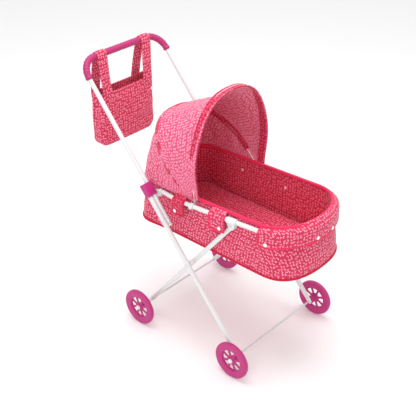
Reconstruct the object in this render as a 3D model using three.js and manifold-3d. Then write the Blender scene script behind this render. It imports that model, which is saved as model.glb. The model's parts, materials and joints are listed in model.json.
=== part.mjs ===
// Doll stroller: a folding tube frame on four wheels, with a soft carrycot, a folding hood
// and a bag that hangs from the push handle.
// Millimetres, +Z up, +X towards the foot end, +Y to the left. Axles, pivots and heights are
// measured from the middle of the wheelbase, and the last lines centre the footprint on the origin.

import * as THREE from 'three';
import { mergeVertices } from 'three/addons/utils/BufferGeometryUtils.js';
import Module from 'manifold-3d';

// ---------- driving dimensions ----------

const gap = 0.3;                  // running and seating clearance between pieces

const wheelRadius = 50;
const wheelWidth = 12.8;
const wheelbase = 321.4;
const track = 343.6;              // between the wheels' middle planes
const axleRadius = 2.75;
const spokeCount = 8;

const tubeRadius = 5.75;          // handle, front legs
const rimTubeRadius = 5.5;
const frontLegLane = 148.2;       // |Y| of each member's middle plane
const handleLane = 136.2;
const rearLegLane = 125;
const rimLane = 131.5;

const rearAxle = { x: -wheelbase / 2, z: wheelRadius };
const frontAxle = { x: wheelbase / 2, z: wheelRadius };
const gripEnd = { x: -338, z: 636 };        // where the grip starts, in line with the front leg
const legTop = { x: 116, z: 397 };          // rear leg's pivot on the rim
const rimPivot = { x: -127, z: 388.1 };     // rim's pivot on the handle tube
const crossbarReach = 446;                  // handle hinge to crossbar, along the tube
const handleBend = 46;
const gripRadius = 9;

const rimHeight = 407;            // rim tube's height at mid wheelbase
const rimSlope = 0.05;            // it rises towards the foot end
const rimFoot = 284;
const hoodPivotX = -3;

const cot = { rear: -216, foot: 275, bottomFoot: 282, bottom: 298, top: 424, halfWidth: 116, wall: 4 };
const hood = { frontAngle: 90, middleAngle: 140, frontHeight: 262, middleHeight: 242,
  halfWidth: 125.5, nesting: 4.6, bulge: 13 };
const bag = { back: -394, front: -350, halfWidth: 97, bottom: 428, top: 576, wall: 2.5 };
const strapLane = 74;
const strapWidth = 30;

// ---------- materials ----------

function finish(color, roughness, metalness = 0) {
  return new THREE.MeshStandardMaterial({ color, roughness, metalness, side: THREE.FrontSide });
}
const whitePaint = () => finish(0xecefec, 0.35);
const whitePlastic = () => finish(0xf2f2ef, 0.45);
const pinkPlastic = () => finish(0xcf4f93, 0.4);
const steel = () => finish(0xb8babd, 0.35, 0.9);
const printedCotton = () => finish(0xd4466b, 0.9);

// ---------- solids ----------

const wasm = await Module();
wasm.setup();

function toSolid(geometry) {
  const bare = geometry.index ? geometry.toNonIndexed() : geometry.clone();
  bare.deleteAttribute('normal');
  bare.deleteAttribute('uv');
  const merged = mergeVertices(bare, 1e-4);
  const vertProperties = Float32Array.from(merged.attributes.position.array);
  const triVerts = Uint32Array.from(merged.index.array);
  return new wasm.Manifold(new wasm.Mesh({ numProp: 3, vertProperties, triVerts }));
}

function toGeometry(solid) {
  const mesh = solid.getMesh();
  const geometry = new THREE.BufferGeometry();
  geometry.setAttribute('position', new THREE.BufferAttribute(Float32Array.from(mesh.vertProperties), 3));
  geometry.setIndex(new THREE.BufferAttribute(Uint32Array.from(mesh.triVerts), 1));
  return geometry;
}

const join = (...pieces) => toGeometry(pieces.map(toSolid).reduce((whole, piece) => whole.add(piece)));

function cut(body, ...tools) {
  return toGeometry(tools.map(toSolid).reduce((left, tool) => left.subtract(tool), toSolid(body)));
}

// Turns the triangles round if the surface is inside out, by the sign of its volume.
function facingOut(positions, index) {
  const at = (i) => new THREE.Vector3().fromArray(positions, 3 * i);
  let volume = 0;
  for (let i = 0; i < index.length; i += 3) {
    volume += at(index[i]).dot(at(index[i + 1]).cross(at(index[i + 2])));
  }
  const geometry = new THREE.BufferGeometry();
  geometry.setAttribute('position', new THREE.Float32BufferAttribute(positions, 3));
  geometry.setIndex(volume > 0 ? index : [...index].reverse());
  return geometry;
}

// A closed surface through rings of points, with a flat fan over the first and the last ring.
function loft(rings) {
  const size = rings[0].length;
  const positions = rings.flat().flatMap((p) => [p.x, p.y, p.z]);
  const index = [];
  for (let r = 0; r + 1 < rings.length; r++) {
    for (let i = 0; i < size; i++) {
      const a = r * size + i;
      const b = r * size + (i + 1) % size;
      index.push(a, b, b + size, a, b + size, a + size);
    }
  }
  for (const [r, flip] of [[0, true], [rings.length - 1, false]]) {
    const middle = rings[r].reduce((sum, p) => sum.add(p), new THREE.Vector3()).divideScalar(size);
    const hub = positions.length / 3;
    positions.push(middle.x, middle.y, middle.z);
    for (let i = 0; i < size; i++) {
      const a = r * size + i;
      const b = r * size + (i + 1) % size;
      index.push(...(flip ? [b, a, hub] : [a, b, hub]));
    }
  }
  return facingOut(positions, index);
}

// A closed skin between two grids of points, outer and inner, joined along their four borders.
function skin(outer, inner) {
  const rows = outer.length;
  const columns = outer[0].length;
  const positions = [...outer.flat(), ...inner.flat()].flatMap((p) => [p.x, p.y, p.z]);
  const index = [];
  const inside = rows * columns;
  const quad = (a, b, c, d) => index.push(a, b, c, a, c, d);
  const at = (r, c) => r * columns + c;
  for (let r = 0; r + 1 < rows; r++) {
    for (let c = 0; c + 1 < columns; c++) {
      quad(at(r, c), at(r, c + 1), at(r + 1, c + 1), at(r + 1, c));
      quad(inside + at(r, c), inside + at(r + 1, c), inside + at(r + 1, c + 1), inside + at(r, c + 1));
    }
  }
  const border = [];
  for (let c = 0; c < columns; c++) border.push(at(0, c));
  for (let r = 1; r < rows; r++) border.push(at(r, columns - 1));
  for (let c = columns - 2; c >= 0; c--) border.push(at(rows - 1, c));
  for (let r = rows - 2; r > 0; r--) border.push(at(r, 0));
  border.forEach((a, i) => {
    const b = border[(i + 1) % border.length];
    quad(b, a, inside + a, inside + b);
  });
  return facingOut(positions, index);
}

// ---------- sections and paths ----------

function circle(radius, sides = 12) {
  return new THREE.EllipseCurve(0, 0, radius, radius, 0, 2 * Math.PI).getPoints(sides).slice(0, sides);
}

function disc(radius, sides = 12) {
  return new THREE.Shape(circle(radius, sides));
}

function roundedRectangle(width, height, radius, Kind = THREE.Shape) {
  const x = width / 2;
  const y = height / 2;
  const outline = new Kind();
  outline.moveTo(x - radius, -y);
  outline.absarc(x - radius, -y + radius, radius, -Math.PI / 2, 0);
  outline.absarc(x - radius, y - radius, radius, 0, Math.PI / 2);
  outline.absarc(-x + radius, y - radius, radius, Math.PI / 2, Math.PI);
  outline.absarc(-x + radius, -y + radius, radius, Math.PI, 1.5 * Math.PI);
  return outline;
}

// A path that keeps its knots: a sweep along it has one ring at each knot.
class KnotPath extends THREE.Curve {
  constructor(knots) {
    super();
    this.knots = knots;
  }

  get steps() {
    return this.knots.length - 1;
  }

  getPoint(t) {
    const place = Math.min(Math.max(t, 0), 1) * this.steps;
    const i = Math.min(Math.floor(place), this.steps - 1);
    return this.knots[i].clone().lerp(this.knots[i + 1], place - i);
  }

  getUtoTmapping(u) {
    return u;
  }
}

function sweep(section, path) {
  return new THREE.ExtrudeGeometry(section, { steps: path.steps, extrudePath: path });
}

// A straight bar of any section between two points of the XZ plane, centred on y.
function bar(section, from, to, y) {
  const length = Math.hypot(to.x - from.x, to.z - from.z);
  const options = { depth: length, bevelEnabled: false, curveSegments: 3 };
  const geometry = new THREE.ExtrudeGeometry(section, options);
  return geometry.rotateY(Math.atan2(to.x - from.x, to.z - from.z)).translate(from.x, y, from.z);
}

// A cylinder across the stroller, along Y.
function crossPin(radius, at, y0, y1, sides = 14) {
  const geometry = new THREE.CylinderGeometry(radius, radius, Math.abs(y1 - y0), sides);
  return geometry.translate(at.x, (y0 + y1) / 2, at.z);
}

function box(x0, x1, y0, y1, z0, z1) {
  const geometry = new THREE.BoxGeometry(x1 - x0, Math.abs(y1 - y0), z1 - z0);
  return geometry.translate((x0 + x1) / 2, (y0 + y1) / 2, (z0 + z1) / 2);
}

// A lathe round Y through points given as [radius, height].
function lathe(profile, sides, from = 0) {
  return new THREE.LatheGeometry(profile.map(([r, y]) => new THREE.Vector2(r, y)), sides, from);
}

function cylinderBetween(radius, a, b, sides = 14) {
  const way = b.clone().sub(a);
  const geometry = new THREE.CylinderGeometry(radius, radius, way.length(), sides);
  const turn = new THREE.Quaternion().setFromUnitVectors(new THREE.Vector3(0, 1, 0), way.clone().normalize());
  const middle = a.clone().add(b).multiplyScalar(0.5);
  return geometry.applyQuaternion(turn).translate(middle.x, middle.y, middle.z);
}

// ---------- the fold's pivots ----------

// The front leg and the handle tube lie on one line, from the front axle to the grip's end.
const lineLength = Math.hypot(gripEnd.x - frontAxle.x, gripEnd.z - frontAxle.z);
const rise = { x: (gripEnd.x - frontAxle.x) / lineLength, z: (gripEnd.z - frontAxle.z) / lineLength };
const beyond = (at, distance) => ({ x: at.x + rise.x * distance, z: at.z + rise.z * distance });
const apart = (a, b) => Math.hypot(a.x - b.x, a.z - b.z);

// The legs cross where that line meets the rear leg's line.
const rearSlope = (legTop.z - rearAxle.z) / (legTop.x - rearAxle.x);
const frontSlope = -rise.z / rise.x;
const crossX = (frontSlope * frontAxle.x - rearSlope * -rearAxle.x) / (frontSlope + rearSlope);
const cross = { x: crossX, z: rearAxle.z + rearSlope * (crossX - rearAxle.x) };

// The four pivots fold flat when rim = rear leg + lower link - upper link.
const linkTotal = apart(cross, rimPivot);
const linkDifference = apart(legTop, rimPivot) - apart(legTop, cross);
const handleHinge = beyond(cross, (linkTotal + linkDifference) / 2);

const sides = [['right', -1], ['left', 1]];

const stroller = new THREE.Group();

function add(name, geometry, material) {
  geometry.computeVertexNormals();
  const mesh = new THREE.Mesh(geometry, material);
  mesh.name = name;
  stroller.add(mesh);
  return mesh;
}

// ---------- wheels ----------

const wheelY = track / 2;
const hubRadius = 9;
const hubInner = frontLegLane + 3.2;      // the hub boss reaches in to the front leg
const webRadius = 38;
const wheelFacets = 32;

// Moulded wheel: rounded tread ring, web with windows between its spokes, hub boss.
function wheelGeometry(side) {
  const half = wheelWidth / 2;
  const treadHalf = 3.2;
  const edge = 2.2;
  const outerFace = [[wheelRadius, treadHalf], [wheelRadius - 0.7, half - edge], [wheelRadius - 5, half],
    [webRadius - 7, half - 1], [webRadius - 9, 3]];
  const innerFace = outerFace.map(([r, y]) => [r, -y]).reverse();
  const facetUnder = Math.PI / wheelFacets;     // turns the ring so that a facet lies underneath
  const ring = lathe([...innerFace, ...outerFace, innerFace[0]], wheelFacets, facetUnder);

  const web = new THREE.Shape(circle(webRadius - 8, wheelFacets));
  const pitch = (2 * Math.PI) / spokeCount;
  const spokeAngle = 0.19;
  for (let i = 0; i < spokeCount; i++) {
    const from = i * pitch + spokeAngle;
    const to = (i + 1) * pitch - spokeAngle;
    const window = new THREE.Path();
    window.absarc(0, 0, 25.5, from, to, false);
    window.absarc(0, 0, 13, to + 0.1, from - 0.1, true);
    web.holes.push(window);
  }
  const plate = new THREE.ExtrudeGeometry(web, { depth: 4, bevelEnabled: false, curveSegments: 2 });
  plate.translate(0, 0, -2).rotateX(Math.PI / 2);

  const inward = -side * (wheelY - hubInner);
  const outward = side * (half - 2.2);
  const hub = crossPin(hubRadius, { x: 0, z: 0 }, inward, outward, 20);
  const bore = crossPin(axleRadius + gap, { x: 0, z: 0 }, inward * 1.2, outward * 1.5, 16);
  return cut(join(ring, plate, hub), bore);
}

// Push-on cap: a dome over the axle's end.
function hubCapGeometry(side) {
  const bore = axleRadius + gap;
  const profile = [[0, 3.6], [bore, 3.6], [bore, 0], [6.4, 0], [6.4, 1.6], [5, 3.9], [2.6, 5.2], [0, 5.6]];
  const cap = lathe(profile, 18);
  if (side < 0) cap.rotateX(Math.PI);
  return cap;
}

const hubFace = wheelY + wheelWidth / 2 - 2.2;
for (const [end, axle] of [['front', frontAxle], ['rear', rearAxle]]) {
  const reach = hubFace + 3.2;
  add(`axle_${end}`, crossPin(axleRadius, axle, -reach, reach, 12), steel());
  for (const [hand, side] of sides) {
    const wheel = add(`wheel_${end}_${hand}`, wheelGeometry(side), pinkPlastic());
    wheel.position.set(axle.x, side * wheelY, axle.z);
    const cap = add(`hub_cap_${end}_${hand}`, hubCapGeometry(side), whitePlastic());
    cap.position.set(axle.x, side * (hubFace + gap), axle.z);
  }
}

// ---------- legs ----------

const lockStart = apart(handleHinge, rimPivot) + 3.9;     // collar's lower face, from the handle hinge
const lockLength = 34;
const rivetRadius = 2.2;

// Front leg: one round tube from a flattened axle eye up to the lock collar.
function frontLegGeometry(y) {
  const tube = bar(disc(tubeRadius), beyond(frontAxle, 9), beyond(handleHinge, lockStart - 0.9), y);
  const eye = join(crossPin(8, frontAxle, y - 2.8, y + 2.8, 18),
    bar(roundedRectangle(14, 5.6, 1.5), frontAxle, beyond(frontAxle, 16), y));
  const bores = [frontAxle, cross, handleHinge].map((at, i) =>
    crossPin(i === 0 ? axleRadius + gap : rivetRadius + gap, at, y - 12, y + 12));
  return cut(join(tube, eye), ...bores);
}

const rearLegHalf = 4;            // half the pressed tube's thickness
const bladeHalf = 2.5;            // and half that of its ends

// Rear leg: a flattened tube, thinner still at the axle and at its pivot on the rim.
function rearLegGeometry(y) {
  const length = apart(rearAxle, legTop);
  const up = { x: (legTop.x - rearAxle.x) / length, z: (legTop.z - rearAxle.z) / length };
  const point = (d) => ({ x: rearAxle.x + up.x * d, z: rearAxle.z + up.z * d });
  const tube = bar(roundedRectangle(12, 2 * rearLegHalf, 3.6), point(12), point(length - 16), y);
  const blade = bar(roundedRectangle(11.6, 2 * bladeHalf, 1.5), point(0), point(length), y);
  const ends = [rearAxle, legTop].map((at) => crossPin(6.6, at, y - bladeHalf, y + bladeHalf, 18));
  const bores = [rearAxle, cross, legTop].map((at, i) =>
    crossPin(i === 0 ? axleRadius + gap : rivetRadius + gap, at, y - 12, y + 12));
  return cut(join(tube, blade, ...ends), ...bores);
}

// A sleeve along Y: a plain ring with a bore.
function sleeveGeometry(bore, radius, length) {
  return lathe([[bore, 0], [radius, 0], [radius, length], [bore, length], [bore, 0]], 16);
}

// A rivet across the stroller: shank between two shallow domed heads.
function rivetGeometry(length) {
  const head = 4.4;
  const dome = 1.3;
  const profile = [[0, -dome], [head * 0.6, -dome], [head, 0], [rivetRadius, 0],
    [rivetRadius, length], [head, length], [head * 0.6, length + dome], [0, length + dome]];
  return lathe(profile, 14);
}

function addRivet(name, at, side, y0, y1) {
  const rivet = add(name, rivetGeometry(y1 - y0), steel());
  rivet.position.set(at.x, side > 0 ? y0 : -y1, at.z);
}

for (const [hand, side] of sides) {
  add(`front_leg_${hand}`, frontLegGeometry(side * frontLegLane), whitePaint());
  add(`rear_leg_${hand}`, rearLegGeometry(side * rearLegLane), whitePaint());

  const outerFace = frontLegLane + tubeRadius;
  addRivet(`cross_rivet_${hand}`, cross, side, rearLegLane - rearLegHalf - gap, outerFace + gap);
  const spacerIn = rearLegLane + rearLegHalf + gap;
  const spacerOut = frontLegLane - tubeRadius - gap;
  add(`cross_spacer_${hand}`, sleeveGeometry(rivetRadius + gap, 6, spacerOut - spacerIn), whitePlastic())
    .position.set(cross.x, side > 0 ? spacerIn : -spacerOut, cross.z);
  addRivet(`handle_rivet_${hand}`, handleHinge, side, handleLane - tubeRadius - gap, outerFace + gap);

  // The same wheel serves front and rear, so a sleeve fills the rear axle from hub to leg.
  const sleeveIn = rearLegLane + bladeHalf + gap;
  const sleeveOut = hubInner - gap;
  add(`axle_sleeve_${hand}`, sleeveGeometry(axleRadius + gap, 5, sleeveOut - sleeveIn), whitePlastic())
    .position.set(rearAxle.x, side > 0 ? sleeveIn : -sleeveOut, rearAxle.z);
}

// ---------- handle ----------

const handleFoot = -8;            // the tube ends a little below its hinge

// Half of the handle's line: up the right-hand side tube, then round the bend.
function handleKnots(from) {
  const knots = [];
  const place = (along, y) => {
    const at = beyond(handleHinge, along);
    return new THREE.Vector3(at.x, y, at.z);
  };
  knots.push(place(from, -handleLane));
  const bendSteps = 7;
  for (let i = 0; i <= bendSteps; i++) {
    const angle = (i / bendSteps) * (Math.PI / 2);
    const along = crossbarReach - handleBend + handleBend * Math.sin(angle);
    knots.push(place(along, -handleLane + handleBend * (1 - Math.cos(angle))));
  }
  const mirrored = [...knots].reverse().map((p) => new THREE.Vector3(p.x, -p.y, p.z));
  return new KnotPath([...knots, ...mirrored]);
}

const gripStart = apart(handleHinge, gripEnd);
const handleTube = sweep(disc(tubeRadius), handleKnots(handleFoot));
const hingeBores = sides.map(([, side]) =>
  crossPin(rivetRadius + gap, handleHinge, side * (handleLane - 12), side * (handleLane + 12)));
add('handle_tube', cut(handleTube, ...hingeBores), whitePaint());

const gripSection = disc(gripRadius, 14);
gripSection.holes.push(new THREE.Path(circle(tubeRadius + gap, 14)));
add('handle_grip', sweep(gripSection, handleKnots(gripStart)), pinkPlastic());

for (const [hand, side] of sides) {
  const plug = bar(disc(tubeRadius + 0.4), beyond(handleHinge, handleFoot - gap - 5),
    beyond(handleHinge, handleFoot - gap), side * handleLane);
  add(`handle_end_cap_${hand}`, plug, whitePlastic());
}

// ---------- lock collars ----------

// A moulded sleeve with one slot that takes the handle tube and the top of the front leg side by side.
function collarGeometry(side) {
  const lanes = frontLegLane - handleLane;
  const wall = 2.6;
  const slot = tubeRadius + gap;
  const outline = roundedRectangle(2 * (slot + wall), lanes + 2 * (slot + wall), 4);
  outline.holes.push(roundedRectangle(2 * slot, lanes + 2 * slot, slot - 0.01, THREE.Path));
  const middle = side * (frontLegLane + handleLane) / 2;
  return bar(outline, beyond(handleHinge, lockStart), beyond(handleHinge, lockStart + lockLength), middle);
}
for (const [hand, side] of sides) add(`lock_collar_${hand}`, collarGeometry(side), pinkPlastic());

// ---------- rim ----------

const rimZ = (x) => rimHeight + rimSlope * x;
const rimEnd = { x: -112, y: 123 };
const rimStraight = { from: -52, to: 24, foot: 190, footY: 124 };

// The rim tube's line: in from the handle, out to full width, then half an ellipse round the foot.
function rimKnots() {
  const half = [[rimEnd.x, rimEnd.y], [-98, 124.5], [-66, 130], [rimStraight.from, rimLane],
    [rimStraight.to, rimLane], [rimStraight.foot, rimStraight.footY]];
  const arcSteps = 9;
  for (let i = 1; i <= arcSteps; i++) {
    const angle = (i / arcSteps) * (Math.PI / 2);
    half.push([rimStraight.foot + (rimFoot - rimStraight.foot) * Math.sin(angle),
      rimStraight.footY * Math.cos(angle)]);
  }
  const right = half.map(([x, y]) => new THREE.Vector3(x, -y, rimZ(x)));
  const left = right.slice(0, -1).reverse().map((p) => new THREE.Vector3(p.x, -p.y, p.z));
  return new KnotPath([...right, ...left]);
}
add('rim_tube', sweep(disc(rimTubeRadius), rimKnots()), whitePaint());

// A point on the rim's long straight run towards the foot.
function onRim(x, side) {
  const along = (x - rimStraight.to) / (rimStraight.foot - rimStraight.to);
  return new THREE.Vector3(x, side * (rimLane + along * (rimStraight.footY - rimLane)), rimZ(x));
}

// Rear leg's socket: a sleeve on the rim with two cheeks that hold the leg's top.
function legSocketGeometry(side) {
  const back = legTop.x - 12;
  const front = legTop.x + 14;
  const sleeve = cylinderBetween(8, onRim(back, side), onRim(front, side), 18);
  const cheek = 2.6;
  const inner = side * (rearLegLane - bladeHalf - gap - cheek);
  const outer = side * (rearLegLane + bladeHalf + gap + cheek);
  const cheeks = join(box(back, front - 4, inner, outer, legTop.z, rimZ(legTop.x)),
    crossPin(8.6, legTop, inner, outer, 18));
  const slot = box(back - 20, front + 20, side * (rearLegLane - bladeHalf - gap),
    side * (rearLegLane + bladeHalf + gap), legTop.z - 12, legTop.z + 7.5);
  const tunnel = cylinderBetween(rimTubeRadius + gap, onRim(back - 5, side), onRim(front + 5, side), 18);
  const bore = crossPin(rivetRadius + gap, legTop, side * 100, side * 145);
  return cut(join(sleeve, cheeks), slot, tunnel, bore);
}

// Rim's rear end: a cap on the tube with an eye beside the handle tube.
function rimEndGeometry(side) {
  const tip = new THREE.Vector3(rimEnd.x, side * rimEnd.y, rimZ(rimEnd.x));
  const away = new THREE.Vector3(rimEnd.x - 8, side * (rimEnd.y - 0.8), rimZ(rimEnd.x) - 1);
  const start = tip.clone().lerp(away, 0.05);
  const cap = cylinderBetween(6, start, away, 16);
  const lane = handleLane - tubeRadius;
  const eye = crossPin(6.5, rimPivot, side * (rimEnd.y - 5.5), side * (lane - 3.4), 16);
  const arm = box(rimPivot.x - 4.5, rimEnd.x - 1, side * (rimEnd.y - 4), side * (lane - 3.4),
    rimPivot.z, rimZ(rimEnd.x));
  return join(cap, eye, arm);
}

// Hood clip: a ring on the rim, with the hood's pivot pin on its inner side.
const clipRadius = 7.6;
function hoodClipGeometry(side) {
  const rimCentre = (x) => new THREE.Vector3(x, side * rimLane, rimZ(x));
  const along = (reach) => [rimCentre(hoodPivotX - reach), rimCentre(hoodPivotX + reach)];
  const ring = cylinderBetween(clipRadius, ...along(4.5), 18);
  const tunnel = cylinderBetween(rimTubeRadius + gap, ...along(9), 18);
  const pivot = { x: hoodPivotX, z: rimZ(hoodPivotX) };
  const knob = crossPin(4.6, pivot, side * (rimLane + 6.4), side * (rimLane + 10), 14);
  const pin = crossPin(1.9, pivot, side * (cot.halfWidth + 0.8), side * (rimLane - 6.2), 12);
  return cut(join(ring, knob, pin), tunnel);
}

for (const [hand, side] of sides) {
  add(`leg_socket_${hand}`, legSocketGeometry(side), whitePlastic());
  add(`rim_end_${hand}`, rimEndGeometry(side), whitePlastic());
  add(`hood_clip_${hand}`, hoodClipGeometry(side), whitePlastic());
  addRivet(`leg_rivet_${hand}`, legTop, side, rearLegLane - 5.4 - gap, rearLegLane + 5.4 + gap);
}

// ---------- hood ----------

const hoodPivot = { x: hoodPivotX, z: rimZ(hoodPivotX) };
const wireRadius = 1.6;
const bulgeRise = 0.22;             // radians of the arch over which it swells

// Point on an arch that stands on the hood's pivot axis: a superellipse in a plane at this angle,
// which swells by bulge a little way above its feet.
function archPoint(angle, halfWidth, height, turn, power, bulge = hood.bulge) {
  const aboveFoot = Math.min(turn, Math.PI - turn);
  const width = halfWidth + bulge * (1 - Math.exp(-((aboveFoot / bulgeRise) ** 2)));
  const across = -Math.sign(Math.cos(turn)) * width * Math.abs(Math.cos(turn)) ** (2 / power);
  const up = height * Math.sin(turn) ** (2 / power);
  const a = THREE.MathUtils.degToRad(angle);
  return new THREE.Vector3(hoodPivot.x + up * Math.cos(a), across, hoodPivot.z + up * Math.sin(a));
}

// Wire bow: the arch with a flattened eye at each foot, bored for the clip's pin.
function bowGeometry(angle, halfWidth, height, footLane) {
  const knots = [];
  const a = THREE.MathUtils.degToRad(angle);
  const foot = (side) => new THREE.Vector3(hoodPivot.x + 3 * Math.cos(a), side * footLane,
    hoodPivot.z + 3 * Math.sin(a));
  const steps = 22;
  const first = 0.09;
  knots.push(foot(-1));
  for (let i = 0; i <= steps; i++) {
    const turn = first + (i / steps) * (Math.PI - 2 * first);
    knots.push(archPoint(angle, halfWidth, height, turn, 2.5));
  }
  knots.push(foot(1));
  const wire = sweep(disc(wireRadius, 8), new KnotPath(knots));
  const eyes = sides.map(([, side]) =>
    crossPin(4, hoodPivot, side * (footLane - 1.3), side * (footLane + 1.3), 14));
  const bores = sides.map(([, side]) =>
    crossPin(1.9 + gap, hoodPivot, side * (footLane - 4), side * (footLane + 4), 12));
  return cut(join(wire, ...eyes), ...bores);
}
const outerEye = cot.halfWidth + 6.3;
add('hood_bow_front', bowGeometry(hood.frontAngle, hood.halfWidth, hood.frontHeight, outerEye), whitePaint());
add('hood_bow_middle', bowGeometry(hood.middleAngle, hood.halfWidth - hood.nesting, hood.middleHeight,
  outerEye - 3.4), whitePaint());

// Hood cover: arches from the front hem, over both bows, down to the back of the cot.
function hoodCoverGeometry() {
  const lift = wireRadius + 2.1;
  const ridge = [[86.5, 264.5], [hood.frontAngle, hood.frontHeight + lift], [112, 249],
    [hood.middleAngle, hood.middleHeight + lift], [150, 226], [158, 217], [166, 213], [173, 212]];
  const grid = (offset) => ridge.map(([angle, height], row) => {
    const back = row / (ridge.length - 1);
    const halfWidth = hood.halfWidth + lift - 5 * back + offset;
    const power = 2.5 + 2 * back;
    const bulge = hood.bulge * Math.min(1, 2 * (1 - back));
    const line = [];
    const columns = 24;
    for (let i = 0; i <= columns; i++) {
      const first = 0.13 * (1 - back) + 0.045 * back;
      const turn = first + (i / columns) * (Math.PI - 2 * first);
      line.push(archPoint(angle, halfWidth, height + offset, turn, power, bulge));
    }
    return line;
  });
  return skin(grid(1.2), grid(0));
}
add('hood_cover', hoodCoverGeometry(), printedCotton());

// ---------- carrycot ----------

// Plan outline of the cot: straight sides, half an ellipse at the foot, a squarer end at the head.
function cotOutline(rear, foot, halfWidth, z) {
  const points = [];
  const footLength = 95;
  const rearLength = 72;
  const steps = 10;
  for (let i = -steps; i <= steps; i++) {
    const turn = (i / steps) * (Math.PI / 2);
    const x = foot - footLength * (1 - Math.cos(turn));
    points.push(new THREE.Vector3(x, halfWidth * Math.sin(turn), z));
  }
  const square = 2 / 2.7;
  for (let i = 0; i <= 2 * steps; i++) {
    const turn = Math.PI / 2 + (i / steps) * (Math.PI / 2);
    const x = -(Math.abs(Math.cos(turn)) ** square);
    const y = Math.sign(Math.sin(turn)) * Math.abs(Math.sin(turn)) ** square;
    points.push(new THREE.Vector3(rear + rearLength + rearLength * x, halfWidth * y, z));
  }
  return points;
}

function carrycotGeometry() {
  const { rear, foot, bottomFoot, bottom, top, halfWidth, wall } = cot;
  const outer = [[rear - 4, bottomFoot, halfWidth, bottom], [rear - 3, bottomFoot, halfWidth, bottom + 70],
    [rear, foot, halfWidth - 0.8, bottom + 96], [rear, foot, halfWidth - 0.8, top]];
  const inner = [...outer].reverse().map(([r, f, w, z], i) =>
    [r + wall, f - wall, w - wall, i === 3 ? z + wall : z]);
  return loft([...outer, ...inner].map((level) => cotOutline(...level)));
}
add('carrycot', carrycotGeometry(), printedCotton());

function baseBoardGeometry() {
  const low = cot.bottom + cot.wall + gap;
  const level = (z, inset) => cotOutline(cot.rear + 4 + inset, cot.bottomFoot - 8 - inset,
    cot.halfWidth - 7 - inset, z);
  return loft([level(low, 1), level(low + 1, 0), level(low + 5, 0), level(low + 6, 1)]);
}
add('base_board', baseBoardGeometry(), printedCotton());

// ---------- flaps over the rim, and their poppers ----------

const flapOut = rimTubeRadius + 0.9;      // flap's inner face, from the rim tube's centre line
const flapThickness = 1.2;

// A flap's plan is a band outside the rim; it hangs from the rim's top to below it.
function flapGeometry(line, low, high) {
  const up = (points, z) => points.map((p) => new THREE.Vector3(p.x, p.y, z + rimSlope * p.x));
  const offset = (distance) => line.map((p, i) => {
    const before = line[Math.max(i - 1, 0)];
    const after = line[Math.min(i + 1, line.length - 1)];
    const way = after.clone().sub(before).normalize();
    return new THREE.Vector2(p.x + way.y * distance, p.y - way.x * distance);
  });
  const near = offset(flapOut);
  const far = offset(flapOut + flapThickness);
  return skin([up(far, low), up(far, high)], [up(near, low), up(near, high)]);
}

function addPopper(name, x, y, z, outward) {
  const profile = [[0, 0], [4.6, 0], [4.6, 0.8], [3.4, 1.7], [0, 2.1]];
  const popper = add(name, lathe(profile, 10), whitePlastic());
  popper.quaternion.setFromUnitVectors(new THREE.Vector3(0, 1, 0), outward.clone().normalize());
  popper.position.set(x, y, z).addScaledVector(outward.clone().normalize(), gap);
}

const flapLow = rimHeight - 36;
const flapHigh = rimHeight + 6;
const footLine = [];
for (let i = -9; i <= 9; i++) {
  const turn = (i / 9) * (Math.PI / 2);
  footLine.push(new THREE.Vector2(rimStraight.foot + (rimFoot - rimStraight.foot) * Math.cos(turn),
    rimStraight.footY * Math.sin(turn)));
}
add('flap_foot', flapGeometry(footLine, flapLow, flapHigh), printedCotton());

// Flaps on the straight runs: where each starts, ends and has its popper, and how low that sits.
const straightFlaps = {
  side: { from: 54, to: 97, popper: 86, drop: 27 },
  head: { from: -62, to: -28, popper: -54, drop: 27 },
};
const footPoppers = { corner: 1.32, end: 0.22, drop: 27 };
const rimY = (x) => (x < rimStraight.to ? rimLane : onRim(x, 1).y);
const outFace = flapOut + flapThickness;
const seat = 0.25;                // keeps a flat popper clear of a curved or slanting flap

for (const [hand, side] of sides) {
  for (const [label, flap] of Object.entries(straightFlaps)) {
    const line = [flap.from, flap.to].map((x) => new THREE.Vector2(x, side * rimY(x)));
    const plan = side < 0 ? line : line.reverse();
    add(`flap_${label}_${hand}`, flapGeometry(plan, flapLow, flapHigh), printedCotton());
    const outward = new THREE.Vector3(rimY(flap.from) - rimY(flap.to), side * (flap.to - flap.from), 0);
    addPopper(`popper_${label}_${hand}`, flap.popper, side * (rimY(flap.popper) + outFace + seat),
      rimZ(flap.popper) - flap.drop, outward);
  }
  for (const label of ['corner', 'end']) {
    const turn = footPoppers[label];
    const long = rimFoot - rimStraight.foot;
    const outward = new THREE.Vector3(rimStraight.footY * Math.cos(turn), side * long * Math.sin(turn), 0);
    outward.normalize();
    const x = rimStraight.foot + long * Math.cos(turn);
    const y = side * rimStraight.footY * Math.sin(turn);
    addPopper(`popper_${label}_${hand}`, x + outward.x * (outFace + seat), y + outward.y * (outFace + seat),
      rimZ(x) - footPoppers.drop, outward);
  }
}

// ---------- bag ----------

function bagGeometry() {
  const depth = bag.front - bag.back;
  const width = 2 * bag.halfWidth;
  const level = (inset, z) => roundedRectangle(depth - 2 * inset, width - 2 * inset, 7 - inset)
    .getPoints(3).slice(0, -1).map((p) => new THREE.Vector3(p.x + (bag.back + bag.front) / 2, p.y, z));
  return loft([level(3, bag.bottom), level(0, bag.bottom + 10), level(0, bag.top),
    level(bag.wall, bag.top), level(bag.wall, bag.bottom + bag.wall + 3)]);
}
add('bag_body', bagGeometry(), printedCotton());

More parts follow.
